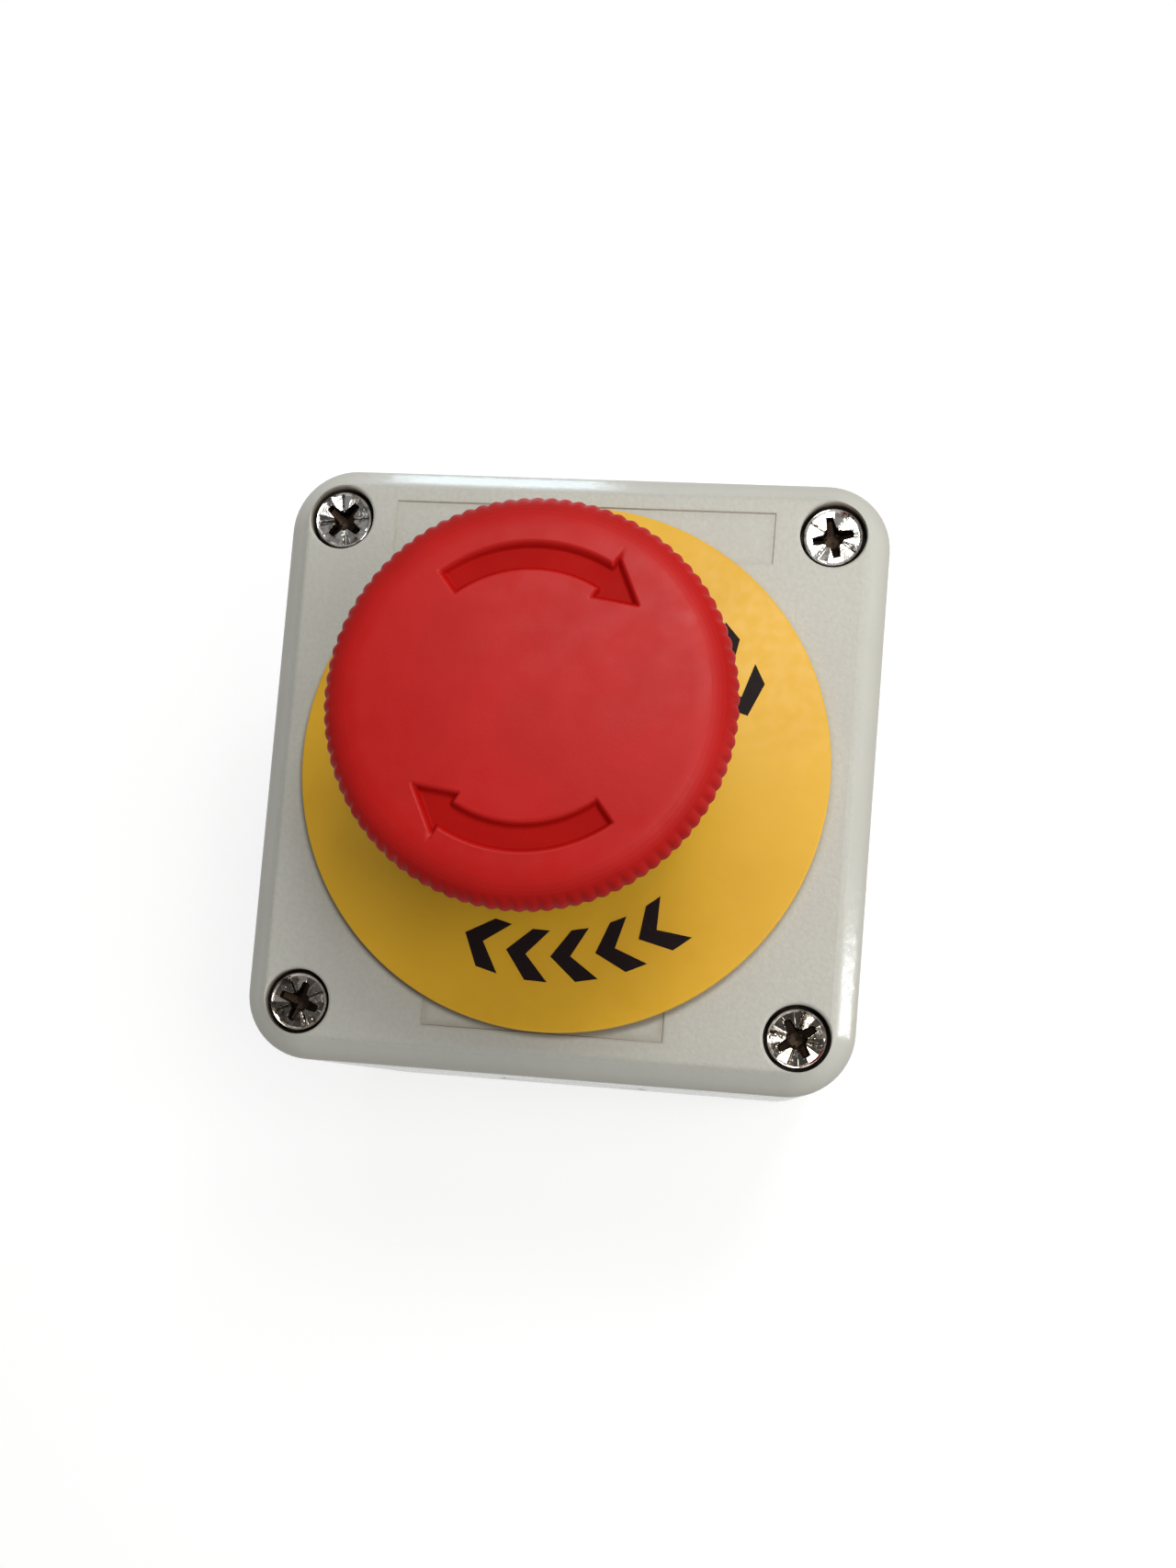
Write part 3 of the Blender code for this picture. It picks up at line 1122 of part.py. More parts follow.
def build():
    """Make every piece, then hang the moving ones on their joints."""
    base_box()
    cover()
    cover_gasket()
    cover_screws()
    legend_disc()
    panel_gasket()
    threaded_bush()
    wiper_seal()
    lock_nut()
    latch_spring()
    mounting_collar()
    collar_screws()
    return_spring()
    sleeve = [plunger_guide(), plunger_foot(), release_spring()]
    head = [mushroom_cap(), head_stem(), stem_circlip()]
    press = attach("press_slide", Vector((0.0, 0.0, GUIDE_TOP_Z)), sleeve)
    attach("twist_axis", Vector((0.0, 0.0, HUB_BOTTOM_Z)), head, press)
    contact_block("nc", -1, NC_STRIP_TOP_Z, NC_BRIDGE_TOP_Z, -1, RED_PLASTIC)
    contact_block("no", 1, NO_STRIP_TOP_Z, NO_BRIDGE_TOP_Z, 1, GREEN_PLASTIC)


build()
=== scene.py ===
"""Looks of the emergency stop push button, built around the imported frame.

The station lies on its back on a pale floor. Lengths are in millimetres until MM turns them into metres.
"""

import json
import math

import bmesh
import bpy
import numpy as np
from mathutils import Matrix, Vector


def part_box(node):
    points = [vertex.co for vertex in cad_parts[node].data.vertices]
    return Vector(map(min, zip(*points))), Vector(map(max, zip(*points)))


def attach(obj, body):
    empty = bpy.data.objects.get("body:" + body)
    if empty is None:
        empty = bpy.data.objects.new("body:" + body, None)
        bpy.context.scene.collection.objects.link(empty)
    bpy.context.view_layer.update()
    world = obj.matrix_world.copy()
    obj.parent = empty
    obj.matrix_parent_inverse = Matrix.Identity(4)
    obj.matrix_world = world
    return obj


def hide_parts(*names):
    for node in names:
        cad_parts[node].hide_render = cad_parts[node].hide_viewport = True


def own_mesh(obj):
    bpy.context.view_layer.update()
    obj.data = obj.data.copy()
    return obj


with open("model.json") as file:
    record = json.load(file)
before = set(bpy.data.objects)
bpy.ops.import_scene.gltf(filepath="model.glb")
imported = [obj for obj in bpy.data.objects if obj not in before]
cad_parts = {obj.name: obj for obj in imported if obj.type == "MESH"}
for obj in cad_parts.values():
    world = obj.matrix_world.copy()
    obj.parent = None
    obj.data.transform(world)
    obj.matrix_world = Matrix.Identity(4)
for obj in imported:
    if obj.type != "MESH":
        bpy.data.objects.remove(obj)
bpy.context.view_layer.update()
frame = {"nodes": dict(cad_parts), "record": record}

MM = 0.001


def top_of(node):
    """Highest point of a CAD node, in millimetres."""
    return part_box(node)[1].z / MM


def bottom_of(node):
    """Lowest point of a CAD node, in millimetres."""
    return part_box(node)[0].z / MM


def half_width(node):
    """How far a CAD node reaches along +X from its own middle, in millimetres."""
    low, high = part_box(node)
    return (high.x - low.x) / 2 / MM


# Heights and radii that the frame gives
LID = top_of("cover")
COVER_BOTTOM = bottom_of("cover")
BASE_TOP = top_of("base_box")
BOX_HALF = half_width("base_box")
HEAD_TOP = top_of("mushroom_cap")
HUB_BOTTOM = bottom_of("mushroom_cap")
HEAD_RADIUS = half_width("mushroom_cap")
DISC_TOP = top_of("legend_disc")
DISC_BOTTOM = bottom_of("legend_disc")
DISC_RADIUS = half_width("legend_disc")
SCREW_TOP = top_of("cover_screw_1")
SCREW_RADIUS = half_width("cover_screw_1")

# Sizes that the pieces here share with the CAD part
GAP = 0.3
CORNER = 7.5
WALL = 2.8
SCREW_AT = 28.45                # of each screw, from both middle lines
SCREW_HEAD = 2.2                # thickness
SCREW_HOLE = 2.3
BOSS_RADIUS = 4.5
COUNTERBORE = 3.75
PANEL_HOLE = 11.3
KEY_SLOT = ((-1.5, 1.5), (5.5, 12.7))
PILOT_BOTTOM = 31.0
ENTRY_RADIUS = 10.0
ENTRY_Z = 20.0
SLOT_AT = 24.0                  # of each wall slot, from the middle along Y
SLOT_HALF = (4.5, 2.25)
SLOT_CORNER = 2.2
THREAD_RADIUS = 11.0
RIM_RADIUS = 17.8
RIM_INNER = 15.6
RIM_Z = 69.5
KNURL_TOP = 80.0
CEILING = 79.0
FACE = 82.8
FILLET = 2.8
HUB_RADIUS = 8.1
HUB_BORE = 6.7
SOCKET_Z = 73.5
SOCKET_RADIUS = 4.3
SOCKET_TOP = 78.3
TEETH = 90
RIBS = 6
RIB_START = 19.0                # degrees from +X
RIB_HALF = 0.6
RIB_BOTTOM = 76.0
ARROW_MIDDLE = 13.38            # radius of the arrows' middle line
ARROW_WIDTH = 2.65
ARROW_HEAD = 4.7
ARROW_ENDS = (128.5, 60.5, 42.0)        # tail, neck and tip, in degrees from +X

# The cover's edge: how far inside the wall, and how far below the face
COVER_SLOPE = ((0.0, 2.90), (0.05, 2.50), (0.25, 2.15), (0.95, 1.53), (1.85, 0.74), (2.50, 0.20),
               (2.78, 0.055), (3.05, 0.0))
BACK_INSET = 3.0
BACK_ROUND = 2.6                # radius of the edge round the back

# Shallow label fields of the lid: half width and half height, where the middle lies along Y, and the strength
# of the painted shade along the inside of its edge
LABEL_FIELDS = (((21.8, 2.85), 27.65, 0.12), ((13.6, 5.0), -25.0, 0.34))

# Roundness
CORNER_STEPS = 14
SCREW_STEPS = 288
SHANK_STEPS = 36
PER_TOOTH = 10
BUSH_STEPS = 120
THREAD_LEVELS = 8               # rings per turn of a thread
RUN_OUT = 10.0                  # rings over which a thread gains its depth

# Camera, fitted to the outlines of the cover, the disc and the head in the photograph
LENS = 32.2365
LENS_SHIFT = 0.1503
CAMERA_PLACE = (22.68, -37.28, 155.69 + LID)
CAMERA_TURN = ((0.99101, -0.074392, 0.111195),
               (0.08123, 0.99499, -0.058286),
               (-0.106302, 0.066795, 0.992088))

# Lamps: name, place, width and height, brightness of the face, colour, and the point that they face
OVER = LID + 215.0
WARM = (1.0, 0.985, 0.955)
BUTTON = (0.0, 0.0, 60.0)
LAMPS = (
    ("key", (70.0, 120.0, OVER), (90.0, 90.0), 8.8, WARM, BUTTON),
    ("left", (-12.0, 90.0, OVER), (90.0, 90.0), 3.2, (0.97, 0.99, 1.0), BUTTON),
    ("right", (120.0, -30.0, OVER), (90.0, 90.0), 6.2, WARM, BUTTON),
    ("window", (-33.0, 150.0, 20.0), (42.0, 28.0), 5.6, (0.72, 0.88, 1.0), (-17.0, 34.0, 53.0)),
    ("side", (300.0, -8.0, 78.0), (40.0, 42.0), 24.0, (0.97, 0.98, 1.0), (34.0, -26.0, 53.0)),
)

FLOOR_HALF = 2500.0
OPENING_INSET = 3.6             # of the floor's opening from the wall of the box


# Camera, floor and light

def linked(name, data):
    """A new object in the scene."""
    made = bpy.data.objects.new(name, data)
    bpy.context.scene.collection.objects.link(made)
    return made


def make_camera():
    """The photograph's viewpoint, above the lower right of the button."""
    data = bpy.data.cameras.new("camera")
    data.sensor_fit = 'AUTO'
    data.sensor_width = 36.0
    data.lens = LENS
    data.shift_y = LENS_SHIFT
    data.clip_start = 0.01
    data.clip_end = 20.0
    data.dof.use_dof = False
    camera = linked("camera", data)
    camera.matrix_world = Matrix.Translation(Vector(CAMERA_PLACE) * MM) @ Matrix(CAMERA_TURN).to_4x4()
    bpy.context.scene.camera = camera


def area_light(name, place, size, brightness, colour, target):
    """A soft rectangular lamp that faces the target, given by how bright its face is."""
    data = bpy.data.lights.new(name, 'AREA')
    data.shape = 'RECTANGLE'
    data.size = size[0] * MM
    data.size_y = size[1] * MM
    data.energy = brightness * math.pi * data.size * data.size_y
    data.color = colour
    lamp = linked(name, data)
    lamp.location = Vector(place) * MM
    aim = Vector(target) * MM - lamp.location
    lamp.rotation_euler = aim.to_track_quat('-Z', 'Y').to_euler()
    lamp.visible_camera = False


def make_world():
    """Plain surroundings: dim overhead, pale near the horizon, white where a ray shows them."""
    world = bpy.data.worlds.new("studio")
    bpy.context.scene.world = world
    world.use_nodes = True
    tree = world.node_tree
    background = tree.nodes["Background"]
    background.inputs["Color"].default_value = (0.985, 0.985, 0.985, 1.0)
    x, y, z = axes(tree, tree.nodes.new("ShaderNodeTexCoord").outputs["Generated"])
    strength = math_node(tree, 'ADD', ramp(tree, x, 0.1, 0.8, 0.27, 0.47),
                         ramp(tree, y, -0.8, -0.1, 0.28, 0.0))
    overhead = ramp(tree, z, 0.86, 0.965, 1.0, 0.22)
    horizon = math_node(tree, 'MAXIMUM', ramp(tree, z, 0.22, 0.60, 1.0, 0.0),
                        tree.nodes.new("ShaderNodeLightPath").outputs["Is Camera Ray"])
    above = times(tree, times(tree, strength, overhead), math_node(tree, 'SUBTRACT', 1.0, horizon))
    level = math_node(tree, 'MAXIMUM', ramp(tree, x, -0.6, 0.6, 0.33, 0.74),
                      seen_rays(tree, ramp(tree, x, -0.9, 0.5, 0.33, 1.15)))
    tree.links.new(math_node(tree, 'ADD', above, times(tree, horizon, level)), background.inputs["Strength"])


def seen_rays(tree, in_gloss):
    """One for the rays that show a background directly or through glass, and a share of it in gloss."""
    path = tree.nodes.new("ShaderNodeLightPath")
    gloss = times(tree, path.outputs["Is Glossy Ray"], in_gloss)
    seen = math_node(tree, 'MAXIMUM', path.outputs["Is Camera Ray"], gloss)
    return math_node(tree, 'MAXIMUM', seen, path.outputs["Is Transmission Ray"])


def make_floor():
    """A pale floor that looks white where nothing shades it.

    It has an opening under the box, so that the back shows from below.
    """
    bm = bmesh.new()
    rings = []
    for half, radius in ((FLOOR_HALF, 1.0), (BOX_HALF - OPENING_INSET, CORNER - OPENING_INSET)):
        outline = rounded_outline((half, half), radius, CORNER_STEPS)
        rings.append([bm.verts.new((x * MM, y * MM, 0.0)) for x, y in outline])
    join_rings(bm, rings)
    mesh = bpy.data.meshes.new("floor")
    bm.to_mesh(mesh)
    bm.free()
    floor = linked("floor", mesh)
    mat, tree, shader, point = new_shader("floor_white", (0.45, 0.45, 0.45), 0.9, specular=0.1)
    far = ramp(tree, length_of(tree, point), 0.15, 0.7, 0.715, 0.87)
    seen = seen_rays(tree, ramp(tree, axes(tree, point)[0], -0.8, 0.0, 0.25, 1.0))
    shader.inputs["Emission Color"].default_value = (1.0, 1.0, 1.0, 1.0)
    tree.links.new(times(tree, seen, far), shader.inputs["Emission Strength"])
    mesh.materials.append(mat)


# Node helpers

def new_shader(name, colour, roughness, metallic=0.0, specular=0.5):
    """A material, its node tree, its shader, and the point on the surface in the row's frame in metres."""
    mat = bpy.data.materials.new(name)
    mat.use_nodes = True
    tree = mat.node_tree
    shader = tree.nodes["Principled BSDF"]
    shader.inputs["Base Color"].default_value = (*colour, 1.0)
    shader.inputs["Roughness"].default_value = roughness
    shader.inputs["Metallic"].default_value = metallic
    shader.inputs["Specular IOR Level"].default_value = specular
    mat.diffuse_color = (*colour, 1.0)
    return mat, tree, shader, tree.nodes.new("ShaderNodeTexCoord").outputs["Object"]


def dress(tree, shader, colour=None, rough=None, normal=None):
    """Link what is given to the shader."""
    for value, socket in ((colour, "Base Color"), (rough, "Roughness"), (normal, "Normal")):
        if value is not None:
            tree.links.new(value, shader.inputs[socket])


def connect(tree, value, socket):
    """Link a socket, or set a plain number."""
    if isinstance(value, bpy.types.NodeSocket):
        tree.links.new(value, socket)
    else:
        socket.default_value = value


def math_node(tree, operation, first, second=0.0, clamp=False):
    """One step of arithmetic."""
    node = tree.nodes.new("ShaderNodeMath")
    node.operation = operation
    node.use_clamp = clamp
    connect(tree, first, node.inputs[0])
    connect(tree, second, node.inputs[1])
    return node.outputs[0]


def times(tree, first, second):
    """One value multiplied by another."""
    return math_node(tree, 'MULTIPLY', first, second)


def ramp(tree, value, low, high, to_low=0.0, to_high=1.0):
    """A smooth step between two values."""
    node = tree.nodes.new("ShaderNodeMapRange")
    node.interpolation_type = 'SMOOTHSTEP'
    connect(tree, value, node.inputs["Value"])
    node.inputs["From Min"].default_value = low
    node.inputs["From Max"].default_value = high
    node.inputs["To Min"].default_value = to_low
    node.inputs["To Max"].default_value = to_high
    return node.outputs[0]


def axes(tree, point):
    """The x, y and z of a point."""
    node = tree.nodes.new("ShaderNodeSeparateXYZ")
    tree.links.new(point, node.inputs[0])
    return tuple(node.outputs)


def length_of(tree, point):
    """How far a point lies from the origin."""
    node = tree.nodes.new("ShaderNodeVectorMath")
    node.operation = 'LENGTH'
    tree.links.new(point, node.inputs[0])
    return node.outputs["Value"]


def stretched(tree, point, scale):
    """The point scaled along each axis, for grain that runs one way."""
    node = tree.nodes.new("ShaderNodeMapping")
    node.inputs["Scale"].default_value = scale
    tree.links.new(point, node.inputs["Vector"])
    return node.outputs[0]


def noise(tree, point, size, detail=3.0, rough=0.5):
    """Noise whose blotches are about size millimetres across."""
    node = tree.nodes.new("ShaderNodeTexNoise")
    node.inputs["Scale"].default_value = 1.0 / (size * MM)
    node.inputs["Detail"].default_value = detail
    node.inputs["Roughness"].default_value = rough
    tree.links.new(point, node.inputs["Vector"])
    return node.outputs[0]


def blotches(tree, point, size, detail=4.0):
    """A share between 0 and 1 that changes in soft blotches."""
    return ramp(tree, noise(tree, point, size, detail), 0.35, 0.65)


def uneven(tree, point, size, detail, low, high):
    """A value that wanders between two limits."""
    return ramp(tree, noise(tree, point, size, detail), 0.3, 0.7, low, high)


def mixed(tree, share, first, second):
    """Mix two colours."""
    node = tree.nodes.new("ShaderNodeMix")
    node.data_type = 'RGBA'
    connect(tree, share, node.inputs[0])
    for value, socket in ((first, node.inputs[6]), (second, node.inputs[7])):
        connect(tree, value if isinstance(value, bpy.types.NodeSocket) else (*value, 1.0), socket)
    return node.outputs[2]


def bump(tree, height, depth, under=None):
    """Relief of the given depth in millimetres."""
    node = tree.nodes.new("ShaderNodeBump")
    node.inputs["Distance"].default_value = depth * MM
    connect(tree, height, node.inputs["Height"])
    if under is not None:
        tree.links.new(under, node.inputs["Normal"])
    return node.outputs[0]


# Materials

def plastic(name, colour, shade, roughness):
    """Moulded plastic: faint blotches, fine grain and a slightly uneven gloss."""
    mat, tree, shader, point = new_shader(name, colour, roughness)
    dress(tree, shader, mixed(tree, blotches(tree, point, 9.0), colour, shade),
          uneven(tree, point, 3.0, 3.0, roughness - 0.06, roughness + 0.06),
          bump(tree, noise(tree, point, 0.35, 2.0), 0.012))
    return mat


def below_lid(depth):
    """A height below the face of the cover, in metres."""
    return (LID - depth) * MM


def painted_disc_shadow(tree, point, x, y):
    """A painted shadow line on the lid against the edge of the disc, strongest at the lower left."""
    away = length_of(tree, stretched(tree, point, (1.0, 1.0, 0.0)))
    inside = ramp(tree, away, (DISC_RADIUS - 0.6) * MM, (DISC_RADIUS - 0.1) * MM)
    outside = ramp(tree, away, (DISC_RADIUS + 0.05) * MM, (DISC_RADIUS + 0.9) * MM, 1.0, 0.0)
    low_left = math_node(tree, 'ADD', times(tree, x, -0.6), times(tree, y, -0.8))
    return times(tree, times(tree, inside, outside), ramp(tree, low_left, 0.0, 24.0 * MM, 0.12, 0.8))


def painted_field_shade(tree, x, y, half, middle, painted_shade_strength):
    """Painted shade along the inside of a label field's edge."""
    across = math_node(tree, 'SUBTRACT', math_node(tree, 'ABSOLUTE', x), half[0] * MM)
    along = math_node(tree, 'ABSOLUTE', math_node(tree, 'SUBTRACT', y, middle * MM))
    gap = math_node(tree, 'MAXIMUM', across, math_node(tree, 'SUBTRACT', along, half[1] * MM))
    return times(tree, ramp(tree, gap, -1.1 * MM, -0.1 * MM),
                 ramp(tree, gap, 0.1 * MM, 0.45 * MM, painted_shade_strength, 0.0))


def lid_plastic():
    """Pale grey moulding: spark-eroded grain on the flat face and a smooth glossy slope round it, with
    painted shade at the foot of the slope and along the label fields, and a painted shadow round the disc.
    """
    mat, tree, shader, point = new_shader("lid_grey", (0.53, 0.53, 0.47), 0.4, specular=0.36)
    x, y, z = axes(tree, point)
    on_face = ramp(tree, z, below_lid(0.75), below_lid(0.05))
    colour = mixed(tree, blotches(tree, point, 14.0), (0.548, 0.544, 0.488), (0.522, 0.517, 0.461))
    streak = noise(tree, stretched(tree, point, (1.0, 0.07, 1.0)), 0.9, 2.0)
    colour = mixed(tree, ramp(tree, streak, 0.45, 0.75, 0.0, 0.12), colour, (0.61, 0.605, 0.555))
    speckle = uneven(tree, point, 0.55, 2.0, 0.0, 0.5)
    colour = mixed(tree, times(tree, speckle, on_face), colour, (0.47, 0.465, 0.415))
    # Painted shadow on the lid round the disc's edge, strongest at the lower left.
    colour = mixed(tree, times(tree, painted_disc_shadow(tree, point, x, y), on_face), colour, (0.12, 0.085, 0.05))
    # Painted shade: the foot of the slope and the top of the wall are coloured darker and browner.
    edge = times(tree, ramp(tree, z, below_lid(3.2), below_lid(0.6), 1.0, 0.0),
                 ramp(tree, z, below_lid(4.4), below_lid(3.0)))
    colour = mixed(tree, edge, colour, (0.435, 0.420, 0.365))
    # Painted shade along the inside of each label field's edge.
    for field in LABEL_FIELDS:
        share = times(tree, painted_field_shade(tree, x, y, *field), on_face)
        colour = mixed(tree, share, colour, (0.33, 0.285, 0.22))
    fine = noise(tree, point, 0.42, 3.0, 0.6)
    rough = math_node(tree, 'ADD', ramp(tree, on_face, 0.0, 1.0, 0.19, 0.46),
                      ramp(tree, fine, 0.35, 0.65, -0.04, 0.04))
    relief = times(tree, fine, ramp(tree, on_face, 0.0, 1.0, 0.08, 1.0))
    wave = times(tree, noise(tree, point, 2.4, 2.0), math_node(tree, 'SUBTRACT', 1.0, on_face))
    dress(tree, shader, colour, rough, bump(tree, relief, 0.045, under=bump(tree, wave, 0.05)))
    return mat


def red_plastic(name, light, dark, roughness, specular):
    """Satin red moulding, a little wavy, with a fine grain."""
    mat, tree, shader, point = new_shader(name, light, roughness, specular=specular)
    wave = bump(tree, noise(tree, point, 5.0, 2.0), 0.05)
    dress(tree, shader, mixed(tree, blotches(tree, point, 7.0, 3.0), light, dark),
          uneven(tree, point, 2.5, 4.0, roughness - 0.05, roughness + 0.06),
          bump(tree, noise(tree, point, 0.28, 2.0), 0.008, under=wave))
    return mat


def yellow_plastic():
    """Printed yellow sheet with a satin face."""
    mat, tree, shader, point = new_shader("disc_yellow", (0.72, 0.40, 0.035), 0.42, specular=0.35)
    colour = mixed(tree, blotches(tree, point, 12.0), (0.780, 0.440, 0.022), (0.735, 0.405, 0.018))
    dress(tree, shader, colour, uneven(tree, point, 1.6, 4.0, 0.34, 0.46),
          bump(tree, noise(tree, point, 0.4), 0.008))
    return mat


def bright_metal(name, colour, tarnish, roughness, recess_shade_top=None):
    """Plated or drawn metal with tarnish in patches.

    A screw's recess is painted dark brown below the given depth under its highest point, as painted shade;
    its shank is left bright.
    """
    mat, tree, shader, point = new_shader(name, colour, roughness, 1.0)
    patch = ramp(tree, noise(tree, point, 1.1, 5.0, 0.6), 0.48, 0.72)
    shade = mixed(tree, patch, colour, tarnish)
    rough = uneven(tree, point, 0.6, 4.0, roughness * 0.7, roughness * 1.5)
    if recess_shade_top:
        # Painted shade: below the given depth the recess darkens and its gloss drops.
        z = axes(tree, point)[2]
        unshaded = ramp(tree, z, (SCREW_TOP - 0.75) * MM, (SCREW_TOP - recess_shade_top) * MM)
        shank = ramp(tree, z, (SCREW_TOP - SCREW_HEAD - 0.2) * MM, (SCREW_TOP - SCREW_HEAD) * MM, 1.0, 0.0)
        unshaded = math_node(tree, 'MAXIMUM', unshaded, shank)
        shade = mixed(tree, unshaded, (0.034, 0.023, 0.016), shade)
        rough = math_node(tree, 'MAXIMUM', rough, ramp(tree, unshaded, 0.0, 1.0, 0.42, 0.0))
    normal = bump(tree, noise(tree, point, 0.8), 0.02)
    dress(tree, shader, shade, rough, bump(tree, noise(tree, point, 0.12, 2.0), 0.004, under=normal))
    return mat


def counterbore_shaded_plastic():
    """The cover's plastic where it goes down to a screw: painted shade, browner and darker with depth."""
    mat, tree, shader, point = new_shader("counterbore_painted_shade", (0.2, 0.17, 0.14), 0.6)
    patch = ramp(tree, noise(tree, point, 1.2, 4.0), 0.35, 0.65, -0.12, 0.12)
    up = ramp(tree, axes(tree, point)[2], below_lid(1.5), below_lid(0.45))
    share = math_node(tree, 'ADD', up, patch, clamp=True)
    dress(tree, shader, mixed(tree, share, (0.050, 0.036, 0.026), (0.40, 0.365, 0.31)),
          normal=bump(tree, noise(tree, point, 0.4), 0.02))
    return mat


def rubber():
    """Black rubber with a little dust."""
    mat, tree, shader, point = new_shader("seal_rubber", (0.022, 0.022, 0.022), 0.75)
    dust = ramp(tree, noise(tree, point, 1.5, 5.0), 0.45, 0.8, 0.0, 0.5)
    dress(tree, shader, mixed(tree, dust, (0.020, 0.020, 0.020), (0.055, 0.052, 0.048)),
          normal=bump(tree, noise(tree, point, 0.3), 0.01))
    return mat


def ink():
    """Black print that is thin in patches."""
    black = (0.012, 0.006, 0.007)
    mat, tree, shader, point = new_shader("print_black", black, 0.55, specular=0.12)
    thin = ramp(tree, noise(tree, point, 0.5, 4.0), 0.5, 0.85, 0.0, 0.35)
    dress(tree, shader, mixed(tree, thin, black, (0.035, 0.020, 0.010)),
          normal=bump(tree, noise(tree, point, 0.35, 2.0), 0.006))
    return mat


def clear_plastic():
    """Water-clear plate with a faint haze and fine scratches in its gloss."""
    mat, tree, shader, point = new_shader("plate_clear", (0.92, 0.92, 0.90), 0.1)
    shader.inputs["Transmission Weight"].default_value = 0.95
    shader.inputs["IOR"].default_value = 1.49
    dress(tree, shader, rough=uneven(tree, stretched(tree, point, (1.0, 6.0, 1.0)), 1.2, 3.0, 0.06, 0.16),
          normal=bump(tree, noise(tree, point, 2.0, 2.0), 0.004))
    return mat


# Mesh helpers

def piece(name, bm, body, mat, sharp=34.0):
    """Turn a bmesh in millimetres into a piece that rides on a body."""
    bmesh.ops.scale(bm, vec=Vector((MM, MM, MM)), verts=bm.verts)
    bmesh.ops.recalc_face_normals(bm, faces=bm.faces)
    mesh = bpy.data.meshes.new(name)
    bm.to_mesh(mesh)
    bm.free()
    mesh.shade_smooth()
    mesh.set_sharp_from_angle(angle=math.radians(sharp))
    mesh.materials.append(mat)
    made = linked(name, mesh)
    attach(made, body)
    return made


def bridge(bm, first, second):
    """Faces between two rings of points, or between a ring and a single point."""
    count = max(len(first), len(second))
    for i in range(count):
        j = (i + 1) % count
        if len(first) == 1:
            bm.faces.new((first[0], second[j], second[i]))
        elif len(second) == 1:
            bm.faces.new((first[i], first[j], second[0]))
        else:
            bm.faces.new((first[i], first[j], second[j], second[i]))


def join_rings(bm, rings, closed=False):
    """Faces from each ring to the next, and from the last to the first of a closed body."""
    for first, second in zip(rings, rings[1:] + rings[:1] if closed else rings[1:]):
        bridge(bm, first, second)


def ring_of(bm, radii, height, angles):
    """A ring of points whose radius may change round the axis."""
    return [bm.verts.new((r * math.cos(a), r * math.sin(a), height)) for r, a in zip(radii, angles)]


def turned_rings(bm, profile, angles):
    """A ring for each point (radius, height) of a profile, or a single point on the axis."""
    return [ring_of(bm, [radius] * len(angles), height, angles) if radius > 0.0
            else [bm.verts.new((0.0, 0.0, height))] for radius, height in profile]


def lathe_bmesh(profile, steps):
    """A turned body about Z. A profile that starts and ends off the axis is closed on itself."""
    bm = bmesh.new()
    rings = turned_rings(bm, profile, [math.tau * i / steps for i in range(steps)])
    join_rings(bm, rings, closed=min(profile[0][0], profile[-1][0]) > 0.0)
    return bm


def cylinder(radius, start, stop, steps):
    """A plain cylinder about Z between two heights."""
    return lathe_bmesh([(0.0, start), (radius, start), (radius, stop), (0.0, stop)], steps)


def loft(bm, outlines):
    """A body through a row of outlines with as many points each, closed by a face at both ends."""
    rings = [[bm.verts.new(point) for point in outline] for outline in outlines]
    join_rings(bm, rings)
    bm.faces.new(rings[0])
    bm.faces.new(rings[-1])
    return bm


def thread(bm, radius, depth, pitch, top, bottom, angles):
    """Rings of a screw thread that gains its depth over its first rings."""
    levels = int((top - bottom) / pitch * THREAD_LEVELS)
    rings = []
    for level in range(levels + 1):
        height = top + (bottom - top) * level / levels
        phase = np.mod(height / pitch - angles / math.tau, 1.0)
        cut = depth * min(1.0, level / RUN_OUT) * np.abs(2.0 * phase - 1.0)
        rings.append(ring_of(bm, radius - cut, height, angles))
    return rings


def rounded_outline(half, radius, steps):
    """Points round a rectangle with round corners, anticlockwise from the +X side."""
    points = []
    for corner, (side_x, side_y) in enumerate(((1, 1), (-1, 1), (-1, -1), (1, -1))):
        for step in range(steps + 1):
            angle = corner * math.pi / 2 + math.pi / 2 * step / steps
            points.append(((half[0] - radius) * side_x + radius * math.cos(angle),
                           (half[1] - radius) * side_y + radius * math.sin(angle)))
    return points


def shell_bmesh(levels):
    """A closed body from rounded squares, each given as (how far inside the outer wall, height)."""
    outlines = []
    for inset, height in levels:
        half = BOX_HALF - inset
        outlines.append([(x, y, height)
                         for x, y in rounded_outline((half, half), max(CORNER - inset, 0.6), CORNER_STEPS)])
    return loft(bmesh.new(), outlines)


def cavity_levels(mouth, end):
    """The hollow of the box or the cover, from beyond its mouth to its closed end with a rounded edge."""
    way = math.copysign(1.0, end - mouth)
    return [(WALL, mouth), (WALL, end - 1.2 * way), (WALL + 0.3, end - 0.4 * way), (WALL + 1.2, end)]


def box_bmesh(x, y, z, taper=0.0):
    """A block between limits. Its upper end is wider by taper on each side."""
    return loft(bmesh.new(), [[(x[0] - grow, y[0] - grow, height), (x[1] + grow, y[0] - grow, height),
                               (x[1] + grow, y[1] + grow, height), (x[0] - grow, y[1] + grow, height)]
                              for height, grow in ((z[0], 0.0), (z[1], taper))])


def arc_points(centre, radius, start, stop, steps):
    """Points on a circular arc in the (radius, height) plane, angles in degrees."""
    around = [math.radians(start + (stop - start) * i / steps) for i in range(steps + 1)]
    return [(centre[0] + radius * math.cos(a), centre[1] + radius * math.sin(a)) for a in around]


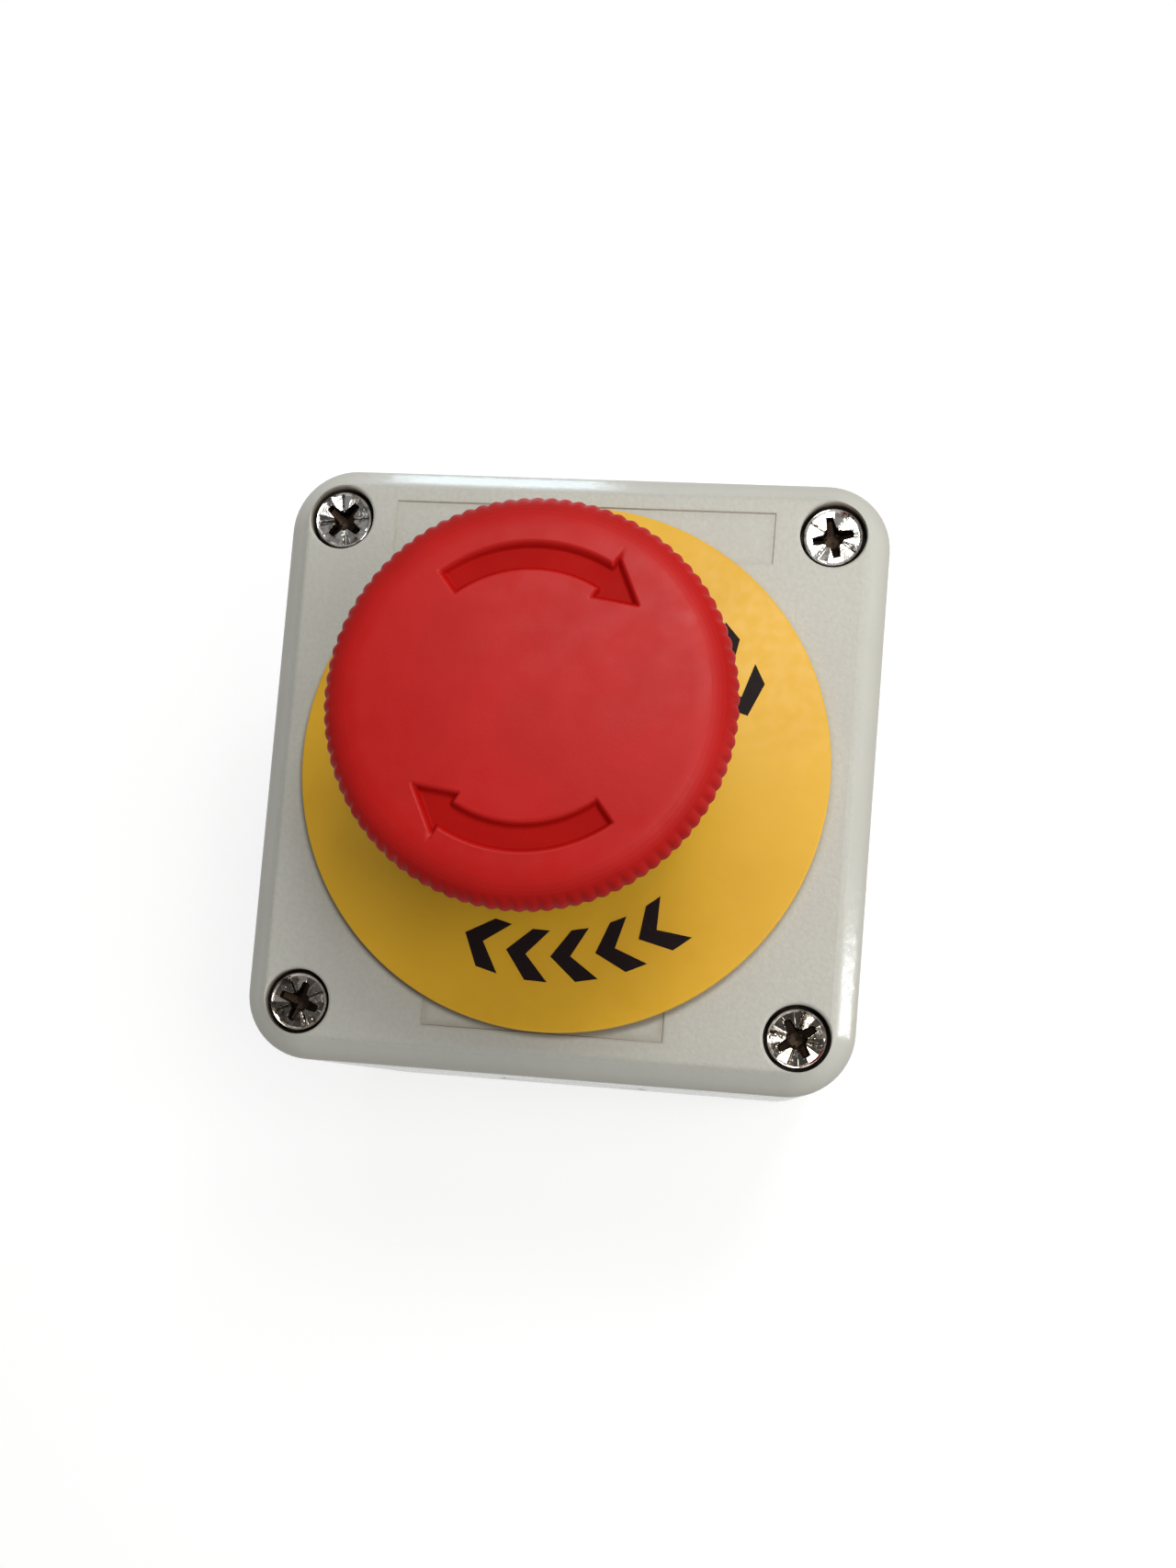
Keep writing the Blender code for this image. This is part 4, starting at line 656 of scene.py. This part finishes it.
def moved(bm, x=0.0, y=0.0, z=0.0, turn=None):
    """The bmesh turned about the origin and then shifted."""
    if turn is not None:
        bmesh.ops.rotate(bm, verts=bm.verts, cent=(0.0, 0.0, 0.0), matrix=turn)
    bmesh.ops.translate(bm, vec=Vector((x, y, z)), verts=bm.verts)
    return bm


def merge(bm, other):
    """Add another bmesh to this one."""
    mesh = bpy.data.meshes.new("scratch")
    other.to_mesh(mesh)
    other.free()
    bm.from_mesh(mesh)
    bpy.data.meshes.remove(mesh)


def temp_object(bm):
    """A scratch object for a Boolean."""
    bmesh.ops.recalc_face_normals(bm, faces=bm.faces)
    mesh = bpy.data.meshes.new("scratch")
    bm.to_mesh(mesh)
    bm.free()
    return linked("scratch", mesh)


def combine(body_bm, steps):
    """Run Booleans on a bmesh: each step is (operation, bmesh). Returns a bmesh."""
    target = temp_object(body_bm)
    tools = []
    for operation, tool_bm in steps:
        tools.append(temp_object(tool_bm))
        modifier = target.modifiers.new("step", 'BOOLEAN')
        modifier.operation = operation
        modifier.solver = 'EXACT'
        modifier.object = tools[-1]
    bpy.context.view_layer.update()
    evaluated = target.evaluated_get(bpy.context.evaluated_depsgraph_get())
    mesh = bpy.data.meshes.new_from_object(evaluated)
    bm = bmesh.new()
    bm.from_mesh(mesh)
    bpy.data.meshes.remove(mesh)
    for item in [target] + tools:
        bpy.data.objects.remove(item, do_unlink=True)
    return bm


def weigh(made):
    """Keep large flat faces flat-looking next to their small rounded edges."""
    modifier = made.modifiers.new("weights", 'WEIGHTED_NORMAL')
    modifier.keep_sharp = True
    modifier.weight = 60


def distance_to_outline(points, outline):
    """Signed distance of points to a closed outline: negative inside. All are arrays of (x, y)."""
    best = np.full(len(points), np.inf)
    inside = np.zeros(len(points), bool)
    for a, b in zip(outline, np.roll(outline, -1, axis=0)):
        along = b - a
        offset = points - a
        share = np.clip(offset @ along / (along @ along), 0.0, 1.0)
        gap = offset - share[:, None] * along
        best = np.minimum(best, np.hypot(gap[:, 0], gap[:, 1]))
        crosses = (a[1] > points[:, 1]) != (b[1] > points[:, 1])
        with np.errstate(divide='ignore', invalid='ignore'):
            at = a[0] + (points[:, 1] - a[1]) * along[0] / along[1]
        inside ^= crosses & (points[:, 0] < at)
    return np.where(inside, -best, best)


def smooth_step(value, low, high):
    """A smooth step from 0 to 1 between two values."""
    share = np.clip((value - low) / (high - low), 0.0, 1.0)
    return share * share * (3.0 - 2.0 * share)


# Box and cover

def boss_spots():
    """Where the four screws stand."""
    return [(side_x * SCREW_AT, side_y * SCREW_AT) for side_x, side_y in ((1, 1), (-1, 1), (-1, -1), (1, -1))]


def make_cover(mat, counterbore_shade_mat):
    """Cover with a glossy slope round its face, flared counterbores and shallow label fields."""
    levels = [(0.25, COVER_BOTTOM), (0.0, COVER_BOTTOM + 0.25)]
    skin = shell_bmesh(levels + [(inset, LID - drop) for inset, drop in COVER_SLOPE])
    steps = [('DIFFERENCE', shell_bmesh(cavity_levels(COVER_BOTTOM - 2.0, LID - WALL)))]
    for x, y in boss_spots():
        steps.append(('UNION', moved(cylinder(BOSS_RADIUS, LID - 1.5, COVER_BOTTOM + GAP, 48), x, y)))
    seat = SCREW_TOP - SCREW_HEAD - GAP
    sink = [(0.0, seat), (SCREW_HOLE, seat), (COUNTERBORE, seat)]
    sink += arc_points((COUNTERBORE + 0.4, LID - 0.4), 0.4, 180.0, 90.0, 5)
    sink += [(COUNTERBORE + 0.45, LID + 1.0), (0.0, LID + 1.0)]
    for x, y in boss_spots():
        steps.append(('DIFFERENCE', moved(lathe_bmesh(sink, 72), x, y)))
        steps.append(('DIFFERENCE', moved(cylinder(SCREW_HOLE, COVER_BOTTOM - 1.0, seat + 0.5, 32), x, y)))
    through = (LID - WALL - 2.0, LID + 2.0)
    steps.append(('DIFFERENCE', cylinder(PANEL_HOLE, *through, 96)))
    steps.append(('DIFFERENCE', box_bmesh(*KEY_SLOT, through)))
    for (wide, tall), y, _ in LABEL_FIELDS:
        field = box_bmesh((-wide, wide), (y - tall, y + tall), (LID - 0.22, LID + 0.3), 0.25)
        steps.append(('DIFFERENCE', field))
    made = piece("cover_moulding", combine(skin, steps), "enclosure", mat, 30.0)
    weigh(made)
    made.data.materials.append(counterbore_shade_mat)
    # Faces inside the counterbores take the painted shade.
    for face in made.data.polygons:
        x, y, z = (value / MM for value in face.center)
        away = math.hypot(abs(x) - SCREW_AT, abs(y) - SCREW_AT)
        if away < COUNTERBORE + 0.12 and COVER_BOTTOM + 2.0 < z < LID - 0.45:
            face.material_index = 1
    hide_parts("cover")


def make_base(mat):
    """Rear box with a rounded back edge, four bosses, knockout grooves and wall slots."""
    levels = [(BACK_INSET, 0.0)]
    for angle in (12, 28, 45, 62, 78, 90):
        levels.append((BACK_ROUND - BACK_ROUND * math.sin(math.radians(angle)),
                       BACK_ROUND - BACK_ROUND * math.cos(math.radians(angle))))
    skin = shell_bmesh(levels + [(0.0, BASE_TOP - 0.3), (0.25, BASE_TOP)])
    steps = [('DIFFERENCE', shell_bmesh(cavity_levels(BASE_TOP + 2.0, WALL)[::-1]))]
    for x, y in boss_spots():
        steps.append(('UNION', moved(cylinder(BOSS_RADIUS, WALL - 1.0, BASE_TOP - 0.3, 48), x, y)))
        steps.append(('DIFFERENCE', moved(cylinder(SCREW_HOLE, PILOT_BOTTOM, BASE_TOP + 1.0, 32), x, y)))
    for side in (1, -1):
        groove = lathe_bmesh([(ENTRY_RADIUS - 0.8, -1.6), (ENTRY_RADIUS, -1.6), (ENTRY_RADIUS, 2.0),
                              (ENTRY_RADIUS - 0.8, 2.0)], 72)
        turn = Matrix.Rotation(-side * math.pi / 2, 3, 'X')
        steps.append(('DIFFERENCE', moved(groove, 0.0, side * BOX_HALF, ENTRY_Z, turn)))
    for side, half in ((1, SLOT_HALF), (-1, SLOT_HALF[::-1])):
        tool = loft(bmesh.new(), [[(x, y, height) for x, y in rounded_outline(half, SLOT_CORNER, 8)]
                                  for height in (-2.0, WALL + 2.0)])
        steps.append(('DIFFERENCE', moved(tool, 0.0, side * SLOT_AT)))
    made = piece("box_moulding", combine(skin, steps), "enclosure", mat, 30.0)
    weigh(made)
    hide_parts("base_box")


# Screws

def make_screws(bright, shaded_nickel):
    """Four screws with a cross recess, a rib-cut face and a rolled rim, each turned its own way."""
    radii = [0.12, 0.25, 0.4] + list(np.arange(0.5, 3.13, 0.06))
    rim = [(3.16, -0.03), (3.22, -0.01), (3.29, -0.05), (3.345, -0.15), (3.375, -0.32), (SCREW_RADIUS, -0.6),
           (SCREW_RADIUS, -2.1), (SCREW_RADIUS - 0.1, -SCREW_HEAD), (0.0, -SCREW_HEAD)]
    turns = (14.0, 52.0, 71.0, 33.0)
    seeds = (1605, 16247, 24859, 25239)
    angles = np.arange(SCREW_STEPS) / SCREW_STEPS * math.tau
    around = np.arange(SHANK_STEPS) / SHANK_STEPS * math.tau
    for number, ((x, y), turn, seed) in enumerate(zip(boss_spots(), turns, seeds), 1):
        bm = bmesh.new()
        rings = turned_rings(bm, [(0.0, -1.75)], angles)
        for radius in radii:
            px, py = radius * np.cos(angles), radius * np.sin(angles)
            depth = recess_depth(px, py, seed)
            rings.append([bm.verts.new((a, b, -d)) for a, b, d in zip(px, py, depth)])
        join_rings(bm, rings + turned_rings(bm, rim, angles))
        shank = bmesh.new()
        rings = turned_rings(shank, [(0.0, -2.0), (1.95, -2.0), (1.95, -4.4)], around)
        rings += thread(shank, 2.0, 0.28, 0.7, -4.6, -17.2, around)
        join_rings(shank, rings + turned_rings(shank, [(1.1, -17.95), (0.0, -18.0)], around))
        merge(bm, shank)
        moved(bm, x, y, SCREW_TOP, Matrix.Rotation(math.radians(turn), 3, 'Z'))
        # The two lower screws take a darker copy of the nickel, as painted shade.
        made = piece(f"machine_screw_{number}", bm, "enclosure", bright if y > 0.0 else shaded_nickel, 28.0)
        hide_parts(f"cover_screw_{number}")


def recess_depth(x, y, seed):
    """How deep the face of a screw is: leaning sectors round a cross, with a star and fine ticks."""
    radius = np.hypot(x, y)
    deep = np.zeros(radius.shape)
    wing_floor = np.interp(radius, [0.0, 0.8, 2.3], [1.75, 1.6, 0.75])
    for along, across in ((x, y), (y, x)):
        wing = np.maximum(np.abs(across) - (0.60 - 0.12 * radius), np.abs(along) - 2.25)
        deep = np.maximum(deep, wing_floor * smooth_step(-wing, -0.10, 0.03))
    diagonal = (x + y) / math.sqrt(2.0), (x - y) / math.sqrt(2.0)
    for along, across in (diagonal, diagonal[::-1]):
        star = np.maximum(np.abs(across) - 0.36, np.abs(along) - 1.05)
        deep = np.maximum(deep, 1.45 * smooth_step(-star, -0.12, 0.04))
        tick = np.maximum(np.abs(across) - 0.09, np.maximum(1.0 - np.abs(along), np.abs(along) - 3.0))
        deep = np.maximum(deep, 0.42 * smooth_step(-tick, -0.08, 0.05))
    chance = np.random.default_rng(seed)
    sectors = 15
    edges = (np.arange(sectors) + chance.uniform(-0.3, 0.3, sectors)) / sectors * math.tau
    round_face = np.mod(np.arctan2(y, x) - edges[0], math.tau) + edges[0]
    index = np.searchsorted(edges, round_face, side='right') - 1
    middle = edges[index] + math.pi / sectors
    across_tilt = chance.uniform(-0.17, 0.17, sectors)[index]
    along_tilt = chance.uniform(-0.10, 0.10, sectors)[index]
    facet = across_tilt * radius * np.sin(round_face - middle) + along_tilt * (radius - 2.0)
    facet *= smooth_step(radius, 0.6, 1.1) * (1.0 - smooth_step(radius, 2.95, 3.12))
    return deep + 0.15 + facet - 0.11 * smooth_step(radius, 2.95, 3.13)


# Mushroom head

def arrow_outline(turn):
    """Outline of a curved arrow that points clockwise."""
    tail, neck, tip = (math.radians(end + turn) for end in ARROW_ENDS)
    around = [tail + (neck - tail) * i / 40 for i in range(41)]
    rows = [(ARROW_MIDDLE + ARROW_WIDTH / 2, a) for a in around]
    rows += [(ARROW_MIDDLE + ARROW_HEAD / 2, neck), (ARROW_MIDDLE, tip),
             (ARROW_MIDDLE - ARROW_HEAD / 2, neck)]
    rows += [(ARROW_MIDDLE - ARROW_WIDTH / 2, a) for a in reversed(around)]
    return np.array([(radius * math.cos(a), radius * math.sin(a)) for radius, a in rows])


def dome_rings(bm, angles):
    """Rings of the shallow dome, sunk where the arrows are. Each point keeps its share of the sinking."""
    layer = bm.verts.layers.float.new("sunk")
    outlines = [arrow_outline(0.0), arrow_outline(180.0)]
    rings = turned_rings(bm, [(0.0, HEAD_TOP)], angles)
    for radius in [0.6, 1.8, 3.2, 4.8, 6.4, 8.0, 9.4, 10.3] + list(np.arange(10.6, 15.7, 0.12)):
        px, py = radius * np.cos(angles), radius * np.sin(angles)
        height = FACE + (HEAD_TOP - FACE) * (1.0 - (radius / (HEAD_RADIUS - FILLET)) ** 2)
        points = np.column_stack((px, py))
        gap = np.minimum(*(distance_to_outline(points, outline) for outline in outlines))
        share = smooth_step(-gap, -0.20, 0.42)
        rings.append([bm.verts.new(point) for point in zip(px, py, height - 0.8 * share)])
        for vert, sunk in zip(rings[-1], share):
            vert[layer] = sunk
    return rings


def shoulder_profile():
    """Radius, height and slope from the edge of the dome round to the top of the knurl."""
    start, power = 15.3, 2.0 / 2.15
    wide, tall = HEAD_RADIUS - start, FACE + 0.10 - KNURL_TOP
    slopes = np.radians([9.0, 17.0, 25.0, 32.0, 39.0, 46.0, 52.0, 58.0, 64.0, 70.0, 76.0, 82.0, 90.0])
    return [(start + wide * math.sin(a) ** power, KNURL_TOP + tall * math.cos(a) ** power, a) for a in slopes]


def flank_profile():
    """Radius, height and slope down the flank to the rim."""
    wide, tall = RIM_RADIUS - HEAD_RADIUS, RIM_Z - KNURL_TOP
    rows = [(HEAD_RADIUS + wide * share, KNURL_TOP + tall * share, math.pi / 2)
            for share in (0.06, 0.14, 0.3, 0.5, 0.7, 0.88, 0.95)]
    return rows + [(RIM_RADIUS - 0.12, RIM_Z + 0.1, math.pi / 2)]


def make_head(mat, arrow_shaded_mat, shoulder_mats):
    """Red head: shallow dome with two soft-edged arrow recesses, round shoulder and rippled flank."""
    steps = TEETH * PER_TOOTH
    angles = np.arange(steps) / steps * math.tau
    groove = 1.0 - np.abs(np.cos(angles * TEETH / 2)) ** 1.15
    bm = bmesh.new()
    rings = dome_rings(bm, angles)
    shoulder = shoulder_profile()
    for radius, height, slope in shoulder + flank_profile():
        amount = 0.22 * smooth_step(slope, math.radians(46.0), math.radians(66.0))
        rings.append(ring_of(bm, radius - amount * groove, height, angles))
    under = [(RIM_RADIUS - 0.75, RIM_Z), (RIM_INNER + 0.35, RIM_Z), (RIM_INNER, RIM_Z + 0.35),
             (RIM_INNER, CEILING - 1.1), (RIM_INNER - 0.35, CEILING - 0.35), (RIM_INNER - 1.1, CEILING),
             (HUB_RADIUS + 0.5, CEILING), (HUB_RADIUS, CEILING - 0.5), (HUB_RADIUS, HUB_BOTTOM + 0.3),
             (HUB_RADIUS - 0.3, HUB_BOTTOM), (HUB_BORE, HUB_BOTTOM), (HUB_BORE, SOCKET_Z),
             (SOCKET_RADIUS, SOCKET_Z), (SOCKET_RADIUS, SOCKET_TOP), (0.0, SOCKET_TOP)]
    join_rings(bm, rings + turned_rings(bm, under, angles))
    made = piece("head_moulding", bm, "head", mat, 40.0)
    for look in (arrow_shaded_mat, *shoulder_mats):
        made.data.materials.append(look)
    # The shoulder bands take the reds painted darker towards the flank: painted shade.
    bands = [z for radius, z, slope in shoulder if math.radians(20.0) < slope < math.radians(50.0)]
    depth = made.data.attributes["sunk"].data
    # Faces in the arrow recesses take the arrow red, painted darker as shade.
    for face in made.data.polygons:
        if sum(depth[v].value for v in face.vertices) > 0.5 * len(face.vertices):
            face.material_index = 1
        elif math.hypot(face.center.x, face.center.y) > (RIM_INNER + 0.1) * MM:
            face.material_index = min(2 + sum(face.center.z < z * MM for z in bands), len(shoulder_mats) + 1)
    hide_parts("mushroom_cap")
    ribs = bmesh.new()
    for rib in range(RIBS):
        tool = box_bmesh((HUB_RADIUS - 0.2, RIM_INNER + 0.2), (-RIB_HALF, RIB_HALF),
                         (RIB_BOTTOM, CEILING + 0.2))
        moved(tool, turn=Matrix.Rotation(math.radians(RIB_START + 360.0 / RIBS * rib), 3, 'Z'))
        merge(ribs, tool)
    ribs_piece = piece("head_ribs", ribs, "head", mat)


# Legend disc

def make_disc(mat, print_mat):
    """Yellow disc with a softly rounded edge and two rows of printed chevrons."""
    profile = [(PANEL_HOLE, DISC_TOP)] + arc_points((DISC_RADIUS - 0.25, DISC_TOP - 0.25), 0.25, 90.0, 0.0, 5)
    profile += [(DISC_RADIUS, DISC_BOTTOM + 0.1), (DISC_RADIUS - 0.1, DISC_BOTTOM), (PANEL_HOLE, DISC_BOTTOM)]
    notch = box_bmesh(*KEY_SLOT, (DISC_BOTTOM - 1.0, DISC_TOP + 1.0))
    made = piece("disc_sheet", combine(lathe_bmesh(profile, 240), [('DIFFERENCE', notch)]), "enclosure", mat)
    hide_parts("legend_disc")
    marks = bmesh.new()
    for angle in list(np.arange(-112.0, -57.0, 13.5)) + list(np.arange(22.0, 160.0, 13.8)):
        chevron(marks, math.radians(angle), 18.6, 24.4, 2.25, 2.6)
    made = piece("disc_print", marks, "enclosure", print_mat)


def chevron(bm, angle, inner, outer, thick, reach):
    """One printed chevron that points clockwise, between two radii."""
    middle = (inner + outer) / 2
    outline = []
    for radius, along in ((inner, 0.0), (middle, -reach), (outer, 0.0), (outer, thick),
                          (middle, thick - reach), (inner, thick)):
        turn = angle + (along + reach / 2) / middle
        outline.append((radius * math.cos(turn), radius * math.sin(turn)))
    loft(bm, [[(x, y, height) for x, y in outline] for height in (DISC_TOP - 0.02, DISC_TOP + 0.03)])


# Bush and its seals

def make_bush(mat, seal_mat):
    """Turned bush with a thread on its barrel, a flat seal under its flange and a lip seal in its mouth."""
    top, bottom = top_of("threaded_bush"), bottom_of("threaded_bush")
    flange = half_width("threaded_bush")
    seat = top - 2.2
    under = top_of("panel_gasket") + GAP
    outer = [(11.05, top), (11.70, top), (11.88, top - 0.05), (11.97, top - 0.16), (12.0, top - 0.35),
             (12.0, seat + 0.35), (12.03, seat), (12.09, seat - 0.35), (12.90, under + 3.0),
             (12.98, under + 2.72), (13.10, under + 2.57), (13.30, under + 2.44), (14.12, under + 2.02),
             (14.30, under + 1.90),
             (14.38, under + 1.75), (flange, under + 1.55), (flange, under + 0.22), (14.34, under + 0.07),
             (14.18, under), (THREAD_RADIUS, under), (THREAD_RADIUS, under - 5.9)]
    inner = [(10.4, bottom), (7.3, bottom), (7.3, seat - 15.0), (8.5, seat - 15.0), (8.5, seat), (10.8, seat),
             (10.8, top - 0.25)]
    angles = np.arange(BUSH_STEPS) / BUSH_STEPS * math.tau
    bm = bmesh.new()
    rings = turned_rings(bm, outer, angles)
    rings += thread(bm, THREAD_RADIUS, 0.62, 1.5, under - 6.5, bottom + 0.6, angles)
    join_rings(bm, rings + turned_rings(bm, inner, angles), closed=True)
    latch = ((-12.0, 12.0), (43.2, 44.8))
    steps = [('UNION', box_bmesh((-1.2, 1.2), (10.0, 12.4), (LID - WALL + GAP, under + 1.25))),
             ('DIFFERENCE', box_bmesh((-8.3, 8.3), (-1.55, 1.55), (bottom - 1.0, seat - 14.8))),
             ('DIFFERENCE', box_bmesh((4.0, 5.6), *latch)), ('DIFFERENCE', box_bmesh((-5.6, -4.0), *latch))]
    made = piece("bush_moulding", combine(bm, steps), "enclosure", mat, 32.0)
    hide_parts("threaded_bush")
    low, high = bottom_of("panel_gasket"), top_of("panel_gasket")
    outside = half_width("panel_gasket")
    profile = [(PANEL_HOLE, high)] + arc_points((outside - 0.3, high - 0.3), 0.3, 90.0, 0.0, 4)
    profile += arc_points((outside - 0.3, low + 0.3), 0.3, 0.0, -90.0, 4) + [(PANEL_HOLE, low)]
    notch = box_bmesh(*KEY_SLOT, (low - 1.0, high + 1.0))
    seal = combine(lathe_bmesh(profile, 144), [('DIFFERENCE', notch)])
    made = piece("flange_seal", seal, "enclosure", seal_mat)
    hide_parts("panel_gasket")
    low, high = bottom_of("wiper_seal"), top_of("wiper_seal")
    lip = [(10.5, high - 0.2), (10.5, low + 0.1), (10.4, low), (9.45, low), (9.25, low + 0.1),
           (8.42, high - 0.75), (8.40, high - 0.15), (8.50, high), (8.62, high - 0.05), (9.35, low + 0.85),
           (9.55, low + 0.82),
           (9.75, high - 0.1), (9.85, high), (10.35, high)]
    made = piece("lip_seal", lathe_bmesh(lip, 120), "enclosure", seal_mat, 50.0)
    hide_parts("wiper_seal")


# Springs

def coil(name, radius, wire, turns, bottom, top, x, mat):
    """A smooth coil spring between two heights."""
    per_turn, sides = 36, 10
    pitch = (top - bottom - wire) / turns
    around = [math.tau * side / sides for side in range(sides)]
    outlines = []
    for step in range(int(turns * per_turn) + 1):
        angle = math.tau * step / per_turn
        out = Vector((math.cos(angle), math.sin(angle), 0.0))
        middle = out * radius + Vector((0.0, 0.0, bottom + wire / 2 + pitch * step / per_turn))
        along = Vector((-radius * out.y, radius * out.x, pitch / math.tau)).normalized()
        up = along.cross(out)
        outlines.append([middle + (out * math.cos(a) + up * math.sin(a)) * wire / 2 for a in around])
    return piece(name, moved(loft(bmesh.new(), outlines), x), "enclosure", mat)


def make_springs(mat):
    """The three springs, each a fixed coil between the ends of its CAD node. In the switch they shorten as
    the head goes in.
    """
    for node, joint, radius, wire, turns in (("return_spring", "press", 7.75, 0.9, 4.5),
                                             ("nc_spring", "nc_slide", 2.15, 0.5, 4.0),
                                             ("no_spring", "no_slide", 2.15, 0.5, 4.0)):
        low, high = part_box(node)
        bottom, top = low.z / MM, high.z / MM
        x = 0.0 if node == "return_spring" else (low.x + high.x) / 2 / MM
        made = coil(node + "_coil", radius, wire, turns, bottom, top, x, mat)
        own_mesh(made)
        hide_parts(node)


# Everything else follows its CAD shape

def finish_nodes(looks):
    """Stand a copy with softened edges and smooth rounds for each CAD node that no other piece replaces."""
    bodies = {node: body for body, nodes in frame["record"]["behaviour"]["bodies"].items() for node in nodes}
    for row in frame["record"]["subparts"]:
        item = frame["nodes"][row["node"]]
        if item.hide_render:
            continue
        bm = bmesh.new()
        bm.from_mesh(item.data)
        bmesh.ops.scale(bm, vec=Vector((1.0, 1.0, 1.0)) / MM, verts=bm.verts)
        bmesh.ops.remove_doubles(bm, verts=bm.verts, dist=0.002)
        bmesh.ops.dissolve_limit(bm, angle_limit=math.radians(1.0), verts=bm.verts, edges=bm.edges)
        edges = [edge for edge in bm.edges
                 if edge.is_manifold and edge.calc_face_angle() > math.radians(38.0)]
        bmesh.ops.bevel(bm, geom=edges, offset=0.11, offset_type='OFFSET', segments=2, profile=0.6,
                        affect='EDGES', clamp_overlap=True)
        made = piece(row["node"] + "_finished", bm, bodies[row["node"]], looks[row["material_slot"]], 36.0)
        weigh(made)
        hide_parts(row["node"])


def shoulder_reds_shaded():
    """Five reds, from the glossy face of the head to its dull flank. The duller gloss is the moulding's own;
    the darker colour towards the flank is painted shade.
    """
    face = np.array([0.465, 0.0062, 0.0044, 0.436, 0.0052, 0.0036, 0.44, 0.26])
    # The flank red is darker than the face red: painted shade.
    flank = np.array([0.400, 0.0045, 0.0028, 0.360, 0.0036, 0.0022, 0.55, 0.13])
    looks = []
    for step in range(5):
        look = (face + (flank - face) * step / 4).tolist()
        looks.append(red_plastic(f"head_red_{step}", look[0:3], look[3:6], *look[6:8]))
    return looks


def build():
    """Make the whole scene."""
    make_camera()
    for lamp in LAMPS:
        area_light(*lamp)
    make_world()
    make_floor()
    shoulder = shoulder_reds_shaded()
    # The arrow recesses get a red darker than the face, as painted shade, and a rougher, less glossy finish.
    arrow = red_plastic("arrow_red_shaded", (0.385, 0.0038, 0.0022), (0.350, 0.0030, 0.0018), 0.60, 0.08)
    # A darker copy of the nickel for the lower screws: painted shade.
    shaded_nickel = bright_metal("screw_nickel_shaded", (0.66, 0.60, 0.53), (0.16, 0.115, 0.08), 0.11, 0.34)
    looks = {
        "grey_plastic": lid_plastic(),
        "red_plastic": shoulder[0],
        "yellow_plastic": yellow_plastic(),
        "black_plastic": plastic("bush_black", (0.018, 0.018, 0.019), (0.026, 0.026, 0.027), 0.42),
        "white_plastic": plastic("guide_white", (0.74, 0.73, 0.69), (0.68, 0.67, 0.62), 0.45),
        "red_nylon": plastic("block_red", (0.46, 0.03, 0.03), (0.40, 0.02, 0.02), 0.45),
        "green_nylon": plastic("block_green", (0.03, 0.24, 0.09), (0.02, 0.20, 0.07), 0.45),
        "clear_plastic": clear_plastic(),
        "black_rubber": rubber(),
        "nickel": bright_metal("screw_nickel", (0.82, 0.80, 0.77), (0.30, 0.24, 0.18), 0.09, 0.36),
        "steel": bright_metal("spring_steel", (0.52, 0.52, 0.54), (0.36, 0.34, 0.32), 0.28),
        "die_cast": bright_metal("collar_cast", (0.60, 0.60, 0.62), (0.42, 0.42, 0.43), 0.42),
        "brass": bright_metal("contact_brass", (0.78, 0.58, 0.27), (0.50, 0.34, 0.14), 0.26),
    }
    make_cover(looks["grey_plastic"], counterbore_shaded_plastic())
    make_base(looks["grey_plastic"])
    make_screws(looks["nickel"], shaded_nickel)
    make_head(shoulder[0], arrow, shoulder)
    make_disc(looks["yellow_plastic"], ink())
    make_bush(looks["black_plastic"], looks["black_rubber"])
    make_springs(looks["steel"])
    finish_nodes(looks)
    bpy.context.scene.view_settings.view_transform = 'Standard'


build()
bpy.context.view_layer.update()
